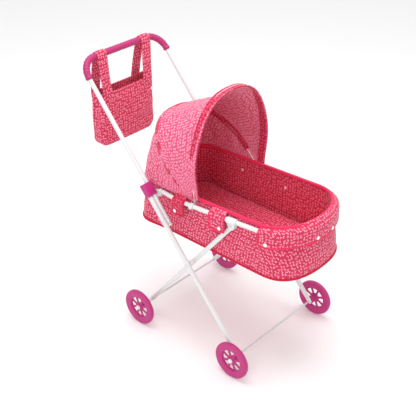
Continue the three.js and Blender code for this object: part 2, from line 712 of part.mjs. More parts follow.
// Strap: up the front of the bag, over the crossbar's grip and down the back, cut from one band.
function strapGeometry(y) {
  const bar0 = beyond(handleHinge, crossbarReach);
  const sewn = bag.top - 14;
  const band = (extra) => {
    const r = gripRadius + 0.6 + extra;
    const front = bag.front + gap + extra;
    const back = bag.back - gap - extra;
    const points = [new THREE.Vector2(front, sewn), new THREE.Vector2(front, bag.top)];
    for (let i = 0; i <= 10; i++) {
      const turn = -0.13 + (i / 10) * (Math.PI + 0.26);
      points.push(new THREE.Vector2(bar0.x + r * Math.cos(turn), bar0.z + r * Math.sin(turn)));
    }
    points.push(new THREE.Vector2(back, bag.top), new THREE.Vector2(back, sewn));
    return points;
  };
  const outline = new THREE.Shape([...band(1.6), ...band(0).reverse()]);
  const geometry = new THREE.ExtrudeGeometry(outline, { depth: strapWidth, bevelEnabled: false });
  return geometry.rotateX(Math.PI / 2).translate(0, y + strapWidth / 2, 0);
}

for (const [hand, side] of sides) {
  add(`bag_strap_${hand}`, strapGeometry(side * strapLane), printedCotton());
  addPopper(`bag_popper_${hand}`, bag.front, side * (bag.halfWidth - 12), bag.top - 36,
    new THREE.Vector3(1, 0, 0));
}

// ---------- stand it on the ground, with its footprint centred on the origin ----------

stroller.updateMatrixWorld(true);
const extent = new THREE.Box3().setFromObject(stroller);
stroller.position.set(-(extent.min.x + extent.max.x) / 2, 0, -extent.min.z);

export default stroller;
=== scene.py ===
# %% [markdown]
# # Doll stroller
# The CAD model gives the frame, the wheels and every joint. This script adds what a sewing room
# and a moulding shop add: the cloth, its bindings and press studs, smooth tubes and fine moulded
# plastic. Everything is in metres, in the CAD model's own place.

# %% Load the frame
import json
import math

import bpy
import numpy as np
from mathutils import Matrix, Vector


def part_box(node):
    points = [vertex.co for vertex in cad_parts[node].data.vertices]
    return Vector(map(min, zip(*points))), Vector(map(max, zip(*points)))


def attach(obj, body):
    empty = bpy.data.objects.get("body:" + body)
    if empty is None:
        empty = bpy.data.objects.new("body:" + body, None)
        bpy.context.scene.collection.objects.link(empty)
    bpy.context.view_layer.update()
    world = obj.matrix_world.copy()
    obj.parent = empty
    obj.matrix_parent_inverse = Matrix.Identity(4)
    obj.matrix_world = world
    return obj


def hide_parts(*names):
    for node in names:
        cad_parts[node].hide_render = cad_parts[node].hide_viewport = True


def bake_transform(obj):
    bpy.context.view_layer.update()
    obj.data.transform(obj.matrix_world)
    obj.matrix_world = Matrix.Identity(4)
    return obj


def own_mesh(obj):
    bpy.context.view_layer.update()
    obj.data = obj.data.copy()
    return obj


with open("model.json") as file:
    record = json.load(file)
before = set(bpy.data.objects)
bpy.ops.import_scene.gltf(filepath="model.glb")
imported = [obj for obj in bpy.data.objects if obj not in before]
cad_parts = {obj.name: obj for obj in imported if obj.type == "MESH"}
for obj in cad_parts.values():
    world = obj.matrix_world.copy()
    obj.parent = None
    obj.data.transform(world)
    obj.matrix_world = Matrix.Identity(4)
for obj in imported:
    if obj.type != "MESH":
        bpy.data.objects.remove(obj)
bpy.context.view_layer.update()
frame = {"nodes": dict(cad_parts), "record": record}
joints = {joint["name"]: joint for joint in frame["record"]["behaviour"]["joints"]}

# %% [markdown]
# Lengths are easiest to read from the middle of the wheelbase, at ground level, so every surface
# is worked out from there and moved to its place when it becomes a mesh. The pivots come from the
# joints, and the sizes of the tubes from the nodes that they belong to.

# %% Where things are
wheel_radius = 0.050


def centre(node):
    """The middle of a CAD node's box: half the sum of its corners."""
    low, high = (np.array(corner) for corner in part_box(node))
    return (low + high) / 2


axle_middle = (centre("axle_front") + centre("axle_rear")) / 2
origin = np.array([axle_middle[0], 0.0, axle_middle[2] - wheel_radius])


def pivot(joint):
    """A joint's point, measured from the middle of the wheelbase."""
    return np.array(joints[joint]["pos_m"]) - origin


def edges(node):
    """A node's lowest and highest corner, measured from the middle of the wheelbase."""
    low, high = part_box(node)
    return np.array(low) - origin, np.array(high) - origin


front_axle = (centre("axle_front") - origin)[[0, 2]]
rear_axle = (centre("axle_rear") - origin)[[0, 2]]
leg_top = pivot("rear_leg_hinge")[[0, 2]]
handle_hinge, crossbar = pivot("handle_hinge")[[0, 2]], pivot("bag_swing")[[0, 2]]
hood_pivot = pivot("hood_fold")[[0, 2]]
rise = (crossbar - handle_hinge) / np.linalg.norm(crossbar - handle_hinge)
sides = (("right", -1), ("left", 1))
print("origin", origin.round(4), "handle leans", round(math.degrees(math.atan2(rise[1], rise[0])), 1))

# %% [markdown]
# ## From numbers to meshes
# A surface is a grid of points: rows and columns of places that a formula gives all at once.
# Neighbouring points are joined by quads. Cloth also needs a UV map in metres, measured along the
# cloth, so that a printed motif keeps its size wherever the cloth bends.

# %% Grids and meshes


def grid_quads(rows, columns, around=False, ring=False):
    """Each quad joins a point, the next in its row, and the same two in the next row."""
    r = np.arange(rows if ring else rows - 1)[:, None]
    c = np.arange(columns if around else columns - 1)[None, :]
    above, beside = (r + 1) % rows, (c + 1) % columns
    corners = (r * columns + c, r * columns + beside, above * columns + beside, above * columns + c)
    return np.stack(np.broadcast_arrays(*corners), -1).reshape(-1, 4)


def lengths_along(points, axis):
    """Distance walked along one direction of a grid, starting from zero."""
    steps = np.linalg.norm(np.diff(points, axis=axis), axis=-1)
    walked = np.cumsum(steps, axis=axis)
    start = np.zeros_like(np.take(walked, [0], axis=axis))
    return np.concatenate([start, walked], axis=axis)


def cloth_map(grid):
    """UV in metres: u is the distance from the middle column, v the mean distance down the rows."""
    u = lengths_along(grid, 1)
    u = u - u[:, u.shape[1] // 2][:, None]
    v = lengths_along(grid, 0).mean(axis=1, keepdims=True) + 0 * u
    return np.stack([u, v], -1)


def unit(vectors):
    """Vectors divided by their own length."""
    return vectors / np.maximum(np.linalg.norm(vectors, axis=-1, keepdims=True), 1e-12)


def grid_normals(grid):
    """The cross product of the two directions of the grid, at length one."""
    return unit(np.cross(np.gradient(grid, axis=1), np.gradient(grid, axis=0)))


def make_piece(name, points, faces, material, loop_uv=None, sharp=None):
    """A mesh object from points (measured from the wheelbase) and faces, with smooth shading."""
    mesh = bpy.data.meshes.new(name)
    mesh.from_pydata((np.asarray(points) + origin).tolist(), [], [list(face) for face in faces])
    if loop_uv is not None:
        mesh.uv_layers.new(name="cloth").data.foreach_set("uv", np.asarray(loop_uv, float).ravel())
    mesh.materials.append(material)
    mesh.shade_smooth()
    if sharp is not None:
        mesh.set_sharp_from_angle(angle=math.radians(sharp))
    mesh.validate()
    obj = bpy.data.objects.new(name, mesh)
    bpy.context.scene.collection.objects.link(obj)
    return obj


def surface(name, grid, material, around=False, ring=False, caps=False, sharp=None):
    """A piece from a grid. around closes its rows, ring closes its columns, caps fills both ends."""
    rows, columns = grid.shape[:2]
    faces = grid_quads(rows, columns, around, ring)
    seamed = np.concatenate([grid, grid[:, :1]], axis=1) if around else grid
    seamed = np.concatenate([seamed, seamed[:1]], axis=0) if ring else seamed
    uv = cloth_map(seamed)
    loops = uv.reshape(-1, 2)[grid_quads(*seamed.shape[:2]).ravel()]
    points, faces = grid.reshape(-1, 3), faces.tolist()
    if caps:
        points = np.concatenate([points, grid[:1].mean(axis=1), grid[-1:].mean(axis=1)])
        turn = np.arange(columns)
        after = (turn + 1) % columns
        last = (rows - 1) * columns
        hub = rows * columns
        low = np.stack([after, turn, np.full(columns, hub)], 1)
        high = np.stack([last + turn, last + after, np.full(columns, hub + 1)], 1)
        faces += low.tolist() + high.tolist()
        fan = [uv[0, turn], uv[-1, turn]]
        flat = [np.repeat(end, 3, axis=0) for end in fan]
        loops = np.concatenate([loops, *flat])
    piece = make_piece(name, points, faces, material, loops, sharp)
    return facing_out(piece, closed=around and (caps or ring))


def facing_out(obj, closed):
    """Turns a closed mesh's faces round if its volume, summed over its faces, is negative."""
    if closed:
        mesh = obj.data
        mesh.calc_loop_triangles()
        place = np.zeros(len(mesh.vertices) * 3)
        mesh.vertices.foreach_get("co", place)
        corners = np.zeros(len(mesh.loop_triangles) * 3, int)
        mesh.loop_triangles.foreach_get("vertices", corners)
        a, b, c = place.reshape(-1, 3)[corners.reshape(-1, 3)].transpose(1, 0, 2)
        if np.einsum("ij,ij->i", a, np.cross(b, c)).sum() < 0:
            mesh.flip_normals()
    return obj


# %% [markdown]
# Most of the stroller is something carried along a line: a tube along its bend, a tape along an
# edge, a piping round the cot. One function does them all. It needs a direction that counts as
# up, because a section would otherwise be free to roll as it travels.

# %% Lines and sweeps


def evenly(points, count, closed=False):
    """The same line, with its points at even distances along it."""
    points = np.vstack([points, points[:1]]) if closed else np.asarray(points)
    walked = lengths_along(points, 0)
    places = np.linspace(0, walked[-1], count, endpoint=not closed)
    return np.stack([np.interp(places, walked, points[:, i]) for i in range(points.shape[1])], 1)


def softened(points, passes=2, closed=False):
    """Each point moves to the weighted mean of itself (two parts) and its two neighbours."""
    for _ in range(passes):
        before, after = np.roll(points, 1, axis=0), np.roll(points, -1, axis=0)
        mean = (before + 2 * points + after) / 4
        if not closed:
            mean[0], mean[-1] = points[0], points[-1]
        points = mean
    return points


def section(width, height, power=2.0, count=20):
    """A superellipse: half width times cos to the power 2/n, half height times sin likewise."""
    turn = np.linspace(0, 2 * np.pi, count, endpoint=False)
    c, s = np.cos(turn), np.sin(turn)
    width, height = np.asarray(width)[..., None], np.asarray(height)[..., None]
    across = width * np.sign(c) * np.abs(c) ** (2 / power)
    up = height * np.sign(s) * np.abs(s) ** (2 / power)
    return np.stack(np.broadcast_arrays(across, up), -1)


def swept(path, outline, up, closed=False):
    """Every point of the path carries the outline: point + side * across + lift * up."""
    ahead = np.roll(path, -1, axis=0) - np.roll(path, 1, axis=0) if closed else np.gradient(path, axis=0)
    side = unit(np.cross(unit(ahead), up))
    lift = np.cross(side, unit(ahead))
    outline = outline if outline.ndim == 3 else outline[None]
    return path[:, None] + side[:, None] * outline[..., :1] + lift[:, None] * outline[..., 1:]


def tube(name, path, radius, up, material, count=20, closed=False):
    """A round tube along a path, with filled ends."""
    grid = swept(path, section(radius, radius, count=count), np.array(up, float), closed)
    return surface(name, grid, material, around=True, ring=closed, caps=not closed)


def turned(name, profile, place, axis, material, count=48, sharp=35):
    """A lathe: each point (radius, along) of the profile goes round the axis through place."""
    axis = unit(np.array(axis, float))
    helper = np.array([0, 0, 1.0]) if abs(axis[2]) < 0.9 else np.array([1.0, 0, 0])
    first = unit(np.cross(axis, helper))
    second = np.cross(axis, first)
    turn = np.linspace(0, 2 * np.pi, count, endpoint=False)
    spoke = np.cos(turn)[:, None] * first + np.sin(turn)[:, None] * second
    profile = np.array(profile, float)
    grid = place + profile[:, 1, None, None] * axis + profile[:, 0, None, None] * spoke[None]
    return surface(name, grid, material, around=True, caps=True, sharp=sharp)


def ripple(u, v, seed, waves=6, longest=0.11):
    """Shallow folds: a mean of sine waves in seeded directions, each shorter than the last."""
    random = np.random.default_rng(seed)
    total = 0 * u
    for i in range(waves):
        angle, phase = random.uniform(0, np.pi), random.uniform(0, 2 * np.pi)
        length = longest * 0.74**i
        total = total + 0.8**i * np.sin(
            2 * np.pi * (u * math.cos(angle) + v * math.sin(angle)) / length + phase
        )
    return total / waves**0.5


# %% [markdown]
# ## Camera and light
# The camera stands to the right and in front of the foot end, a little above the hood, with a
# portrait lens. A large panel overhead gives the soft shadow between the wheels; the pale world
# fills the rest, as a light tent does.

# %% Camera, panels and floor
back_of_camera = unit(np.array([0.5706, -0.6368, 0.5186]))
camera_place = origin + np.array([1.2394, -1.4627, 1.5059])


def add_camera():
    """The camera's own axes are its right, its up and its back, as the columns of its matrix."""
    right = unit(np.cross([0, 0, 1.0], back_of_camera))
    axes = np.stack([right, np.cross(back_of_camera, right), back_of_camera], 1)
    data = bpy.data.cameras.new("camera")
    data.lens, data.sensor_width = 77.4, 36
    camera = bpy.data.objects.new("camera", data)
    matrix = np.eye(4)
    matrix[:3, :3], matrix[:3, 3] = axes, camera_place
    camera.matrix_world = Matrix(matrix)
    bpy.context.scene.collection.objects.link(camera)
    bpy.context.scene.camera = camera


def add_panel(name, place, target, size, power, colour=(1, 1, 1)):
    """A square area light that faces the target."""
    data = bpy.data.lights.new(name, "AREA")
    data.size, data.energy, data.color = size, power, colour
    lamp = bpy.data.objects.new(name, data)
    back = unit(np.array(place, float) - np.array(target, float))
    right = unit(np.cross([0.02, 1.0, 0.01], back))
    matrix = np.eye(4)
    matrix[:3, :3] = np.stack([right, np.cross(back, right), back], 1)
    matrix[:3, 3] = place
    lamp.matrix_world = Matrix(matrix)
    bpy.context.scene.collection.objects.link(lamp)


def add_floor():
    """One large white sheet of paper on the ground."""
    half = 12.0
    corners = [(-half, -half, 0), (half, -half, 0), (half, half, 0), (-half, half, 0)]
    mesh = bpy.data.meshes.new("floor")
    mesh.from_pydata(corners, [], [(0, 1, 2, 3)])
    paper = bpy.data.materials.new("floor_paper")
    paper.use_nodes = True
    paper.node_tree.nodes["Principled BSDF"].inputs["Base Color"].default_value = (0.93, 0.93, 0.93, 1)
    paper.node_tree.nodes["Principled BSDF"].inputs["Roughness"].default_value = 0.9
    mesh.materials.append(paper)
    floor = bpy.data.objects.new("floor", mesh)
    bpy.context.scene.collection.objects.link(floor)


def add_world(strength):
    """An even pale surround."""
    world = bpy.data.worlds.new("studio")
    bpy.context.scene.world = world
    world.use_nodes = True
    world.node_tree.nodes["Background"].inputs["Color"].default_value = (1, 1, 1, 1)
    world.node_tree.nodes["Background"].inputs["Strength"].default_value = strength


add_camera()
add_panel("panel_overhead", (0.0, 0.0, 2.6), (0, 0, 0.3), 1.7, 32)
add_panel("panel_front_left", (1.2, -2.2, 1.9), (0, 0, 0.35), 1.2, 16)
add_floor()
add_world(0.86)
bpy.context.scene.view_settings.view_transform = "Standard"

# %% [markdown]
# ## Materials
# Shared effects are node groups: a printed motif, a weave, and the uneven gloss that handling
# leaves on plastic and paint. A group gives out masks and heights only; each material keeps its
# own shader and its own colours.

# %% Building blocks for materials


def linear(red, green, blue):
    """Screen colours from 0 to 255 as the linear values that a shader takes."""
    s = np.array([red, green, blue]) / 255
    value = np.where(s <= 0.04045, s / 12.92, ((s + 0.055) / 1.055) ** 2.4)
    return (*value.tolist(), 1.0)


def put(tree, kind, inputs=None, **settings):
    """A new node with its settings and its inputs, each a value or another node's output."""
    node = tree.nodes.new(kind)
    for name, value in settings.items():
        setattr(node, name, value)
    for key, value in (inputs or {}).items():
        if isinstance(value, bpy.types.NodeSocket):
            tree.links.new(value, node.inputs[key])
        else:
            node.inputs[key].default_value = value
    return node


def maths(tree, operation, *values):
    """One Math node's output."""
    return put(tree, "ShaderNodeMath", dict(enumerate(values)), operation=operation).outputs[0]


def new_group(name, inputs, outputs):
    """A shader node group with named sockets; returns its tree, input node and output node."""
    tree = bpy.data.node_groups.new(name, "ShaderNodeTree")
    for label, kind in inputs:
        tree.interface.new_socket(label, in_out="INPUT", socket_type=kind)
    for label, kind in outputs:
        tree.interface.new_socket(label, in_out="OUTPUT", socket_type=kind)
    return tree, tree.nodes.new("NodeGroupInput"), tree.nodes.new("NodeGroupOutput")


# %% [markdown]
# The print is a small two-petalled sprig, scattered on a loose grid and turned a different way each
# time. A Voronoi texture gives each sprig its own cell, its own centre and its own random
# colour; that colour turns the sprig. Mirroring the cell about its middle line gives two petals
# for the price of one.

# %% Group: petal print


def petal_print_group():
    """Mask is 1 inside an ellipse in mirrored, turned cell coordinates; Tone varies by cell."""
    tree, start, end = new_group(
        "petal_print",
        [("Vector", "NodeSocketVector"), ("Pitch", "NodeSocketFloat")],
        [("Mask", "NodeSocketFloat"), ("Tone", "NodeSocketFloat")],
    )
    per_metre = maths(tree, "DIVIDE", 1.0, start.outputs["Pitch"])
    scaled = put(
        tree, "ShaderNodeVectorMath", {0: start.outputs["Vector"], "Scale": per_metre}, operation="SCALE"
    )
    cells = put(
        tree, "ShaderNodeTexVoronoi",
        {"Vector": scaled.outputs[0], "Scale": 1.0, "Randomness": 0.55}, voronoi_dimensions="2D",
    )
    local = put(
        tree, "ShaderNodeVectorMath",
        {0: scaled.outputs[0], 1: cells.outputs["Position"]}, operation="SUBTRACT",
    )
    dice = put(tree, "ShaderNodeSeparateColor", {0: cells.outputs["Color"]})
    angle = maths(tree, "MULTIPLY", dice.outputs[0], 2 * math.pi)
    spun = put(
        tree, "ShaderNodeVectorRotate", {"Vector": local.outputs[0], "Angle": angle}, rotation_type="Z_AXIS"
    )
    parts = put(tree, "ShaderNodeSeparateXYZ", {0: spun.outputs[0]})
    mirrored = put(
        tree, "ShaderNodeCombineXYZ",
        {"X": maths(tree, "SUBTRACT", maths(tree, "ABSOLUTE", parts.outputs["X"]), 0.15),
         "Y": maths(tree, "SUBTRACT", parts.outputs["Y"], 0.04)},
    )
    tilted = put(
        tree, "ShaderNodeVectorRotate", {"Vector": mirrored.outputs[0], "Angle": 0.65}, rotation_type="Z_AXIS"
    )
    stretched = put(
        tree, "ShaderNodeVectorMath",
        {0: tilted.outputs[0], 1: (1 / 0.15, 1 / 0.33, 0.0)}, operation="MULTIPLY",
    )
    reach = put(tree, "ShaderNodeVectorMath", {0: stretched.outputs[0]}, operation="LENGTH")
    mask = put(
        tree, "ShaderNodeMapRange",
        {"Value": reach.outputs["Value"], "From Min": 1.12, "From Max": 0.86},
        interpolation_type="SMOOTHSTEP",
    )
    tree.links.new(mask.outputs[0], end.inputs["Mask"])
    tree.links.new(dice.outputs[1], end.inputs["Tone"])
    return tree


petal_print = petal_print_group()

# %% [markdown]
# Plain-weave cotton is a checker of threads that go over and under each other. Two rows of waves
# at right angles give the threads; their product, with its sign, says which one is on top.

# %% Group: weave


def weave_group():
    """Height is the product of sin u and sin v, mapped from -1..1 to 0..1; Slub is a fine noise."""
    tree, start, end = new_group(
        "weave",
        [("Vector", "NodeSocketVector"), ("Thread", "NodeSocketFloat")],
        [("Height", "NodeSocketFloat"), ("Slub", "NodeSocketFloat")],
    )
    per_metre = maths(tree, "DIVIDE", math.pi, start.outputs["Thread"])
    scaled = put(
        tree, "ShaderNodeVectorMath", {0: start.outputs["Vector"], "Scale": per_metre}, operation="SCALE"
    )
    parts = put(tree, "ShaderNodeSeparateXYZ", {0: scaled.outputs[0]})
    warp, weft = maths(tree, "SINE", parts.outputs["X"]), maths(tree, "SINE", parts.outputs["Y"])
    over = maths(tree, "MULTIPLY", warp, weft)
    height = put(tree, "ShaderNodeMapRange", {"Value": over, "From Min": -1.0, "From Max": 1.0})
    slub = put(
        tree, "ShaderNodeTexNoise", {"Vector": start.outputs["Vector"], "Scale": 160.0, "Detail": 3.0},
    )
    tree.links.new(height.outputs[0], end.inputs["Height"])
    tree.links.new(slub.outputs[0], end.inputs["Slub"])
    return tree


weave = weave_group()

# %% [markdown]
# Moulded plastic and powder coat are never quite even. A slow noise moves the gloss, and a fine
# one gives the skin its slight orange peel.

# %% Group: handled skin


def skin_group():
    """Cloud is a slow noise for gloss and colour; Peel is a fine one for the bump."""
    tree, start, end = new_group(
        "handled_skin",
        [("Vector", "NodeSocketVector"), ("Peel Scale", "NodeSocketFloat")],
        [("Cloud", "NodeSocketFloat"), ("Peel", "NodeSocketFloat")],
    )
    cloud = put(tree, "ShaderNodeTexNoise", {"Vector": start.outputs["Vector"], "Scale": 26.0, "Detail": 5.0})
    peel = put(
        tree, "ShaderNodeTexNoise",
        {"Vector": start.outputs["Vector"], "Scale": start.outputs["Peel Scale"], "Detail": 2.0},
    )
    tree.links.new(cloud.outputs[0], end.inputs["Cloud"])
    tree.links.new(peel.outputs[0], end.inputs["Peel"])
    return tree


handled_skin = skin_group()

# %% [markdown]
# Now the finishes. Each cloth has a ground and a motif colour, and all of them share one recipe.
# A dusting of sheen stands for the short fibres that catch the light on brushed cotton.

# %% Cloth finishes
print_pitch = 0.0080
thread = 0.00055


def start_material(name, roughness, **constants):
    """A material with its shader's constant sockets set; returns it, its tree and its shader."""
    material = bpy.data.materials.new(name)
    material.use_nodes = True
    tree = material.node_tree
    shader = tree.nodes["Principled BSDF"]
    shader.inputs["Roughness"].default_value = roughness
    for label, value in constants.items():
        shader.inputs[label.replace("_", " ")].default_value = value
    return material, tree, shader


def cloth(name, ground, motif=None, coordinates="UV", worn=0.10):
    """Woven cotton: a ground colour, an optional print, slubby threads and a woven surface."""
    material, tree, shader = start_material(
        name, 0.86, Sheen_Weight=0.25, Sheen_Roughness=0.4, Specular_IOR_Level=0.25
    )
    place = put(tree, "ShaderNodeTexCoord").outputs[coordinates]
    threads = put(tree, "ShaderNodeGroup", node_tree=weave)
    tree.links.new(place, threads.inputs["Vector"])
    threads.inputs["Thread"].default_value = thread
    slubs = {"Value": threads.outputs["Slub"], "From Min": 0.3, "From Max": 0.7}
    shade = put(tree, "ShaderNodeMapRange", slubs)
    base = put(tree, "ShaderNodeMix", {"Factor": shade.outputs[0]}, data_type="RGBA")
    base.inputs[6].default_value = tuple((1 - 1.6 * worn) * value for value in ground[:3]) + (1.0,)
    base.inputs[7].default_value = ground
    colour = base.outputs[2]
    if motif:
        petals = put(tree, "ShaderNodeGroup", node_tree=petal_print)
        tree.links.new(place, petals.inputs["Vector"])
        petals.inputs["Pitch"].default_value = print_pitch
        tones = put(tree, "ShaderNodeMix", {"Factor": petals.outputs["Tone"]}, data_type="RGBA")
        tones.inputs[6].default_value = motif
        tones.inputs[7].default_value = tuple(0.35 * g + 0.65 * m for g, m in zip(ground, motif))
        printed = put(tree, "ShaderNodeMix", {"Factor": petals.outputs["Mask"]}, data_type="RGBA")
        tree.links.new(colour, printed.inputs[6])
        tree.links.new(tones.outputs[2], printed.inputs[7])
        colour = printed.outputs[2]
    tree.links.new(colour, shader.inputs["Base Color"])
    bump = put(
        tree, "ShaderNodeBump", {"Height": threads.outputs["Height"], "Strength": 0.35, "Distance": 0.00018}
    )
    tree.links.new(bump.outputs[0], shader.inputs["Normal"])
    return material


outer_cotton = cloth("printed_cotton_outside", linear(212, 52, 92), linear(244, 158, 176))
hood_cotton = cloth("printed_cotton_hood", linear(226, 82, 124), linear(250, 178, 198))
hood_lining = cloth("printed_cotton_hood_inside", linear(232, 106, 140), linear(252, 184, 200))
lining_cotton = cloth("printed_cotton_lining", linear(216, 44, 82), linear(242, 138, 158))
# A darker cotton for the hood's sleeves; on the head flaps under the hood it is painted shade.
sleeve_and_shade_cotton = cloth("printed_cotton_sleeve_and_painted_shade", linear(198, 34, 72), linear(232, 104, 134))
pad_cotton = cloth("printed_cotton_pad", linear(218, 50, 86), linear(244, 142, 162), coordinates="Object")
hot_pink_tape = cloth("hot_pink_tape", linear(240, 48, 96))
crimson_piping_and_shade_binding = cloth("crimson_piping_and_shade_binding", linear(205, 26, 62))

# %% Plastic, paint and metal finishes


def moulded(name, colour, roughness, peel=700.0, bump=0.12, metallic=0.0, coat=0.0, cloudy=0.10):
    """Plastic, powder coat or metal: one colour, clouded gloss and a faint orange peel."""
    material, tree, shader = start_material(name, roughness, Metallic=metallic, Coat_Weight=coat)
    place = put(tree, "ShaderNodeTexCoord").outputs["Object"]
    skin = put(tree, "ShaderNodeGroup", node_tree=handled_skin)
    tree.links.new(place, skin.inputs["Vector"])
    skin.inputs["Peel Scale"].default_value = peel
    tint = put(tree, "ShaderNodeMix", {"Factor": skin.outputs["Cloud"]}, data_type="RGBA")
    tint.inputs[6].default_value = tuple((1 - cloudy) * value for value in colour[:3]) + (1.0,)
    tint.inputs[7].default_value = colour
    tree.links.new(tint.outputs[2], shader.inputs["Base Color"])
    gloss = put(
        tree, "ShaderNodeMapRange",
        {"Value": skin.outputs["Cloud"], "From Min": 0.25, "From Max": 0.75,
         "To Min": roughness - 0.07, "To Max": roughness + 0.09},
    )
    tree.links.new(gloss.outputs[0], shader.inputs["Roughness"])
    skin_bump = put(
        tree, "ShaderNodeBump", {"Height": skin.outputs["Peel"], "Strength": bump, "Distance": 0.0002}
    )
    tree.links.new(skin_bump.outputs[0], shader.inputs["Normal"])
    return material


white_paint = moulded("white_powder_coat", linear(222, 224, 224), 0.32, coat=0.15, cloudy=0.05)
white_plastic = moulded("white_moulded_plastic", linear(226, 228, 226), 0.42, cloudy=0.06)
magenta_plastic = moulded("magenta_moulded_plastic", linear(190, 42, 122), 0.42, cloudy=0.16)
grip_plastic = moulded("magenta_grip", linear(190, 36, 112), 0.48, peel=420.0, bump=0.35, cloudy=0.22)
bright_steel = moulded("zinc_plated_steel", linear(226, 228, 230), 0.42, metallic=0.7, cloudy=0.12)
stud_plastic = moulded("press_stud_white", linear(246, 240, 240), 0.3, cloudy=0.05)
print("materials", len(bpy.data.materials))

# %% [markdown]
# ## Small fittings from the CAD model
# The sockets, clips, rim ends, collars, spacers and rivets have the right shape already, with
# edges as sharp as a drawing's. A moulded edge is round, so each one is copied, its corners are
# merged and a small bevel rounds them. The copy stands for the CAD node.

# %% Rounded copies of the fittings


def rounded_copy(node, body, material, slot, bevel):
    """A merged copy of a CAD node's mesh, with its edges bevelled by this width."""
    source = frame["nodes"][node].data
    copy = source.copy()
    obj = bpy.data.objects.new(node + "_finished", copy)
    bpy.context.scene.collection.objects.link(obj)
    places = np.zeros(len(copy.vertices) * 3)
    copy.vertices.foreach_get("co", places)
    world = np.array(frame["nodes"][node].matrix_world)
    places = places.reshape(-1, 3) @ world[:3, :3].T + world[:3, 3]
    copy.vertices.foreach_set("co", places.ravel())
    weld = obj.modifiers.new("merge corners", "WELD")
    weld.merge_threshold = 0.00002
    if bevel:
        soft = obj.modifiers.new("rounded edges", "BEVEL")
        soft.width, soft.segments, soft.angle_limit = bevel, 2, math.radians(42)
        soft.limit_method = "ANGLE"
        soft.use_clamp_overlap = True
    copy.materials.clear()
    copy.materials.append(material)
    copy.shade_smooth()
    copy.set_sharp_from_angle(angle=math.radians(38))
    finish_piece(obj, body, slot, node)
    return obj


def finish_piece(obj, body, slot, *nodes):
    """The piece rides on its body and may stand for CAD nodes; its slot is not used."""
    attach(obj, body)
    if nodes:
        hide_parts(*nodes)
    return obj


for hand, side in sides:
    rounded_copy(f"leg_socket_{hand}", "carrycot_frame", white_plastic, "white_plastic", 0.0008)
    rounded_copy(f"rim_end_{hand}", "carrycot_frame", white_plastic, "white_plastic", 0.0008)
    rounded_copy(f"hood_clip_{hand}", "carrycot_frame", white_plastic, "white_plastic", 0.0006)
    rounded_copy(f"leg_rivet_{hand}", "carrycot_frame", bright_steel, "steel", 0.0003)
    rounded_copy(f"cross_rivet_{hand}", "front_legs", bright_steel, "steel", 0.0003)
    rounded_copy(f"handle_rivet_{hand}", "front_legs", bright_steel, "steel", 0.0003)
    rounded_copy(f"cross_spacer_{hand}", "rear_legs", white_plastic, "white_plastic", 0.0006)
    rounded_copy(f"axle_sleeve_{hand}", "rear_legs", white_plastic, "white_plastic", 0.0006)
    rounded_copy(f"handle_end_cap_{hand}", "handle", white_plastic, "white_plastic", 0.0012)
    rounded_copy(f"lock_collar_{hand}", f"lock_collar_{hand}", magenta_plastic, "pink_plastic", 0.0012)

# %% [markdown]
# ## Tubes, legs and axles
# The tubes are drawn again as smooth surfaces along the same lines. A leg is a round tube that a
# press has flattened at its ends, so its section changes along the way: the width grows as the
# thickness shrinks.

# %% Tubes
front_leg_lane, handle_lane, rear_leg_lane = 0.1482, 0.1362, 0.125
tube_radius, rim_radius, axle_radius = 0.00575, 0.0055, 0.00275
hinge_to_crossbar = np.linalg.norm(crossbar - handle_hinge)
handle_bend = 0.046
grip_start = np.linalg.norm(np.array([-0.338, 0.636]) - handle_hinge)
sideways = (0.0, 1.0, 0.0)
across_handle = (rise[1], 0.0, -rise[0])


def eased(value, low, high):
    """0 below low, 1 above high, and a smooth step between them."""
    t = np.clip((value - low) / (high - low), 0, 1)
    return t * t * (3 - 2 * t)


def handle_line(start, count=240):
    """Up one side, round a quarter circle, along the crossbar and down the other side."""
    turn = np.linspace(0, np.pi / 2, 24)
    straight = np.linspace(start, hinge_to_crossbar - handle_bend, 60)
    along = np.concatenate([straight, hinge_to_crossbar - handle_bend * (1 - np.sin(turn[1:]))])
    lane = np.concatenate([0 * straight, handle_bend * (1 - np.cos(turn[1:]))]) - handle_lane
    half = np.stack([handle_hinge[0] + rise[0] * along, lane, handle_hinge[1] + rise[1] * along], 1)
    whole = np.concatenate([half, half[::-1] * [1, -1, 1]])
    return evenly(whole, count)


def leg(name, low, high, lane, widths, heights, ends, bodyname, node):
    """A straight pressed tube: its half width and half thickness ease between end and middle."""
    length = np.linalg.norm(high - low)
    d = np.linspace(0, length, 90)
    way = (high - low) / length
    path = np.stack([low[0] + way[0] * d, 0 * d + lane, low[1] + way[1] * d], 1)
    bottom = eased(d, ends[0], ends[0] + 0.018)
    top = eased(length - d, ends[1], ends[1] + 0.018) if ends[1] else 1 + 0 * d
    middle = bottom * top
    width = widths[0] + (widths[1] - widths[0]) * middle
    height = heights[0] + (heights[1] - heights[0]) * middle
    tip = np.sqrt(np.clip(1 - (1 - np.clip(d / 0.006, 0, 1)) ** 2, 0.04, 1))
    tail = np.sqrt(np.clip(1 - (1 - np.clip((length - d) / 0.006, 0, 1)) ** 2, 0.04, 1))
    width = width * tip * (tail if ends[1] else 1)
    grid = swept(path, section(height, width, power=2.6, count=28), np.cross(sideways, [way[0], 0, way[1]]))
    obj = surface(name, grid, white_paint, around=True, caps=True)
    return finish_piece(obj, bodyname, "white_paint", node)


lock_top = edges("front_leg_right")[1][2]
front_leg_end = handle_hinge + rise * ((lock_top - 0.0037 - handle_hinge[1]) / rise[1])
for hand, side in sides:
    foot = front_axle - rise * 0.0075
    leg(f"front_leg_tube_{hand}", foot, front_leg_end, side * front_leg_lane, (0.0068, tube_radius),
        (0.0028, tube_radius), (0.016, 0), "front_legs", f"front_leg_{hand}")
    up = unit(leg_top - rear_axle)
    leg(f"rear_leg_tube_{hand}", rear_axle - up * 0.0064, leg_top + up * 0.0064, side * rear_leg_lane,
        (0.0060, 0.0060), (0.0025, 0.0040), (0.014, 0.018), "rear_legs", f"rear_leg_{hand}")

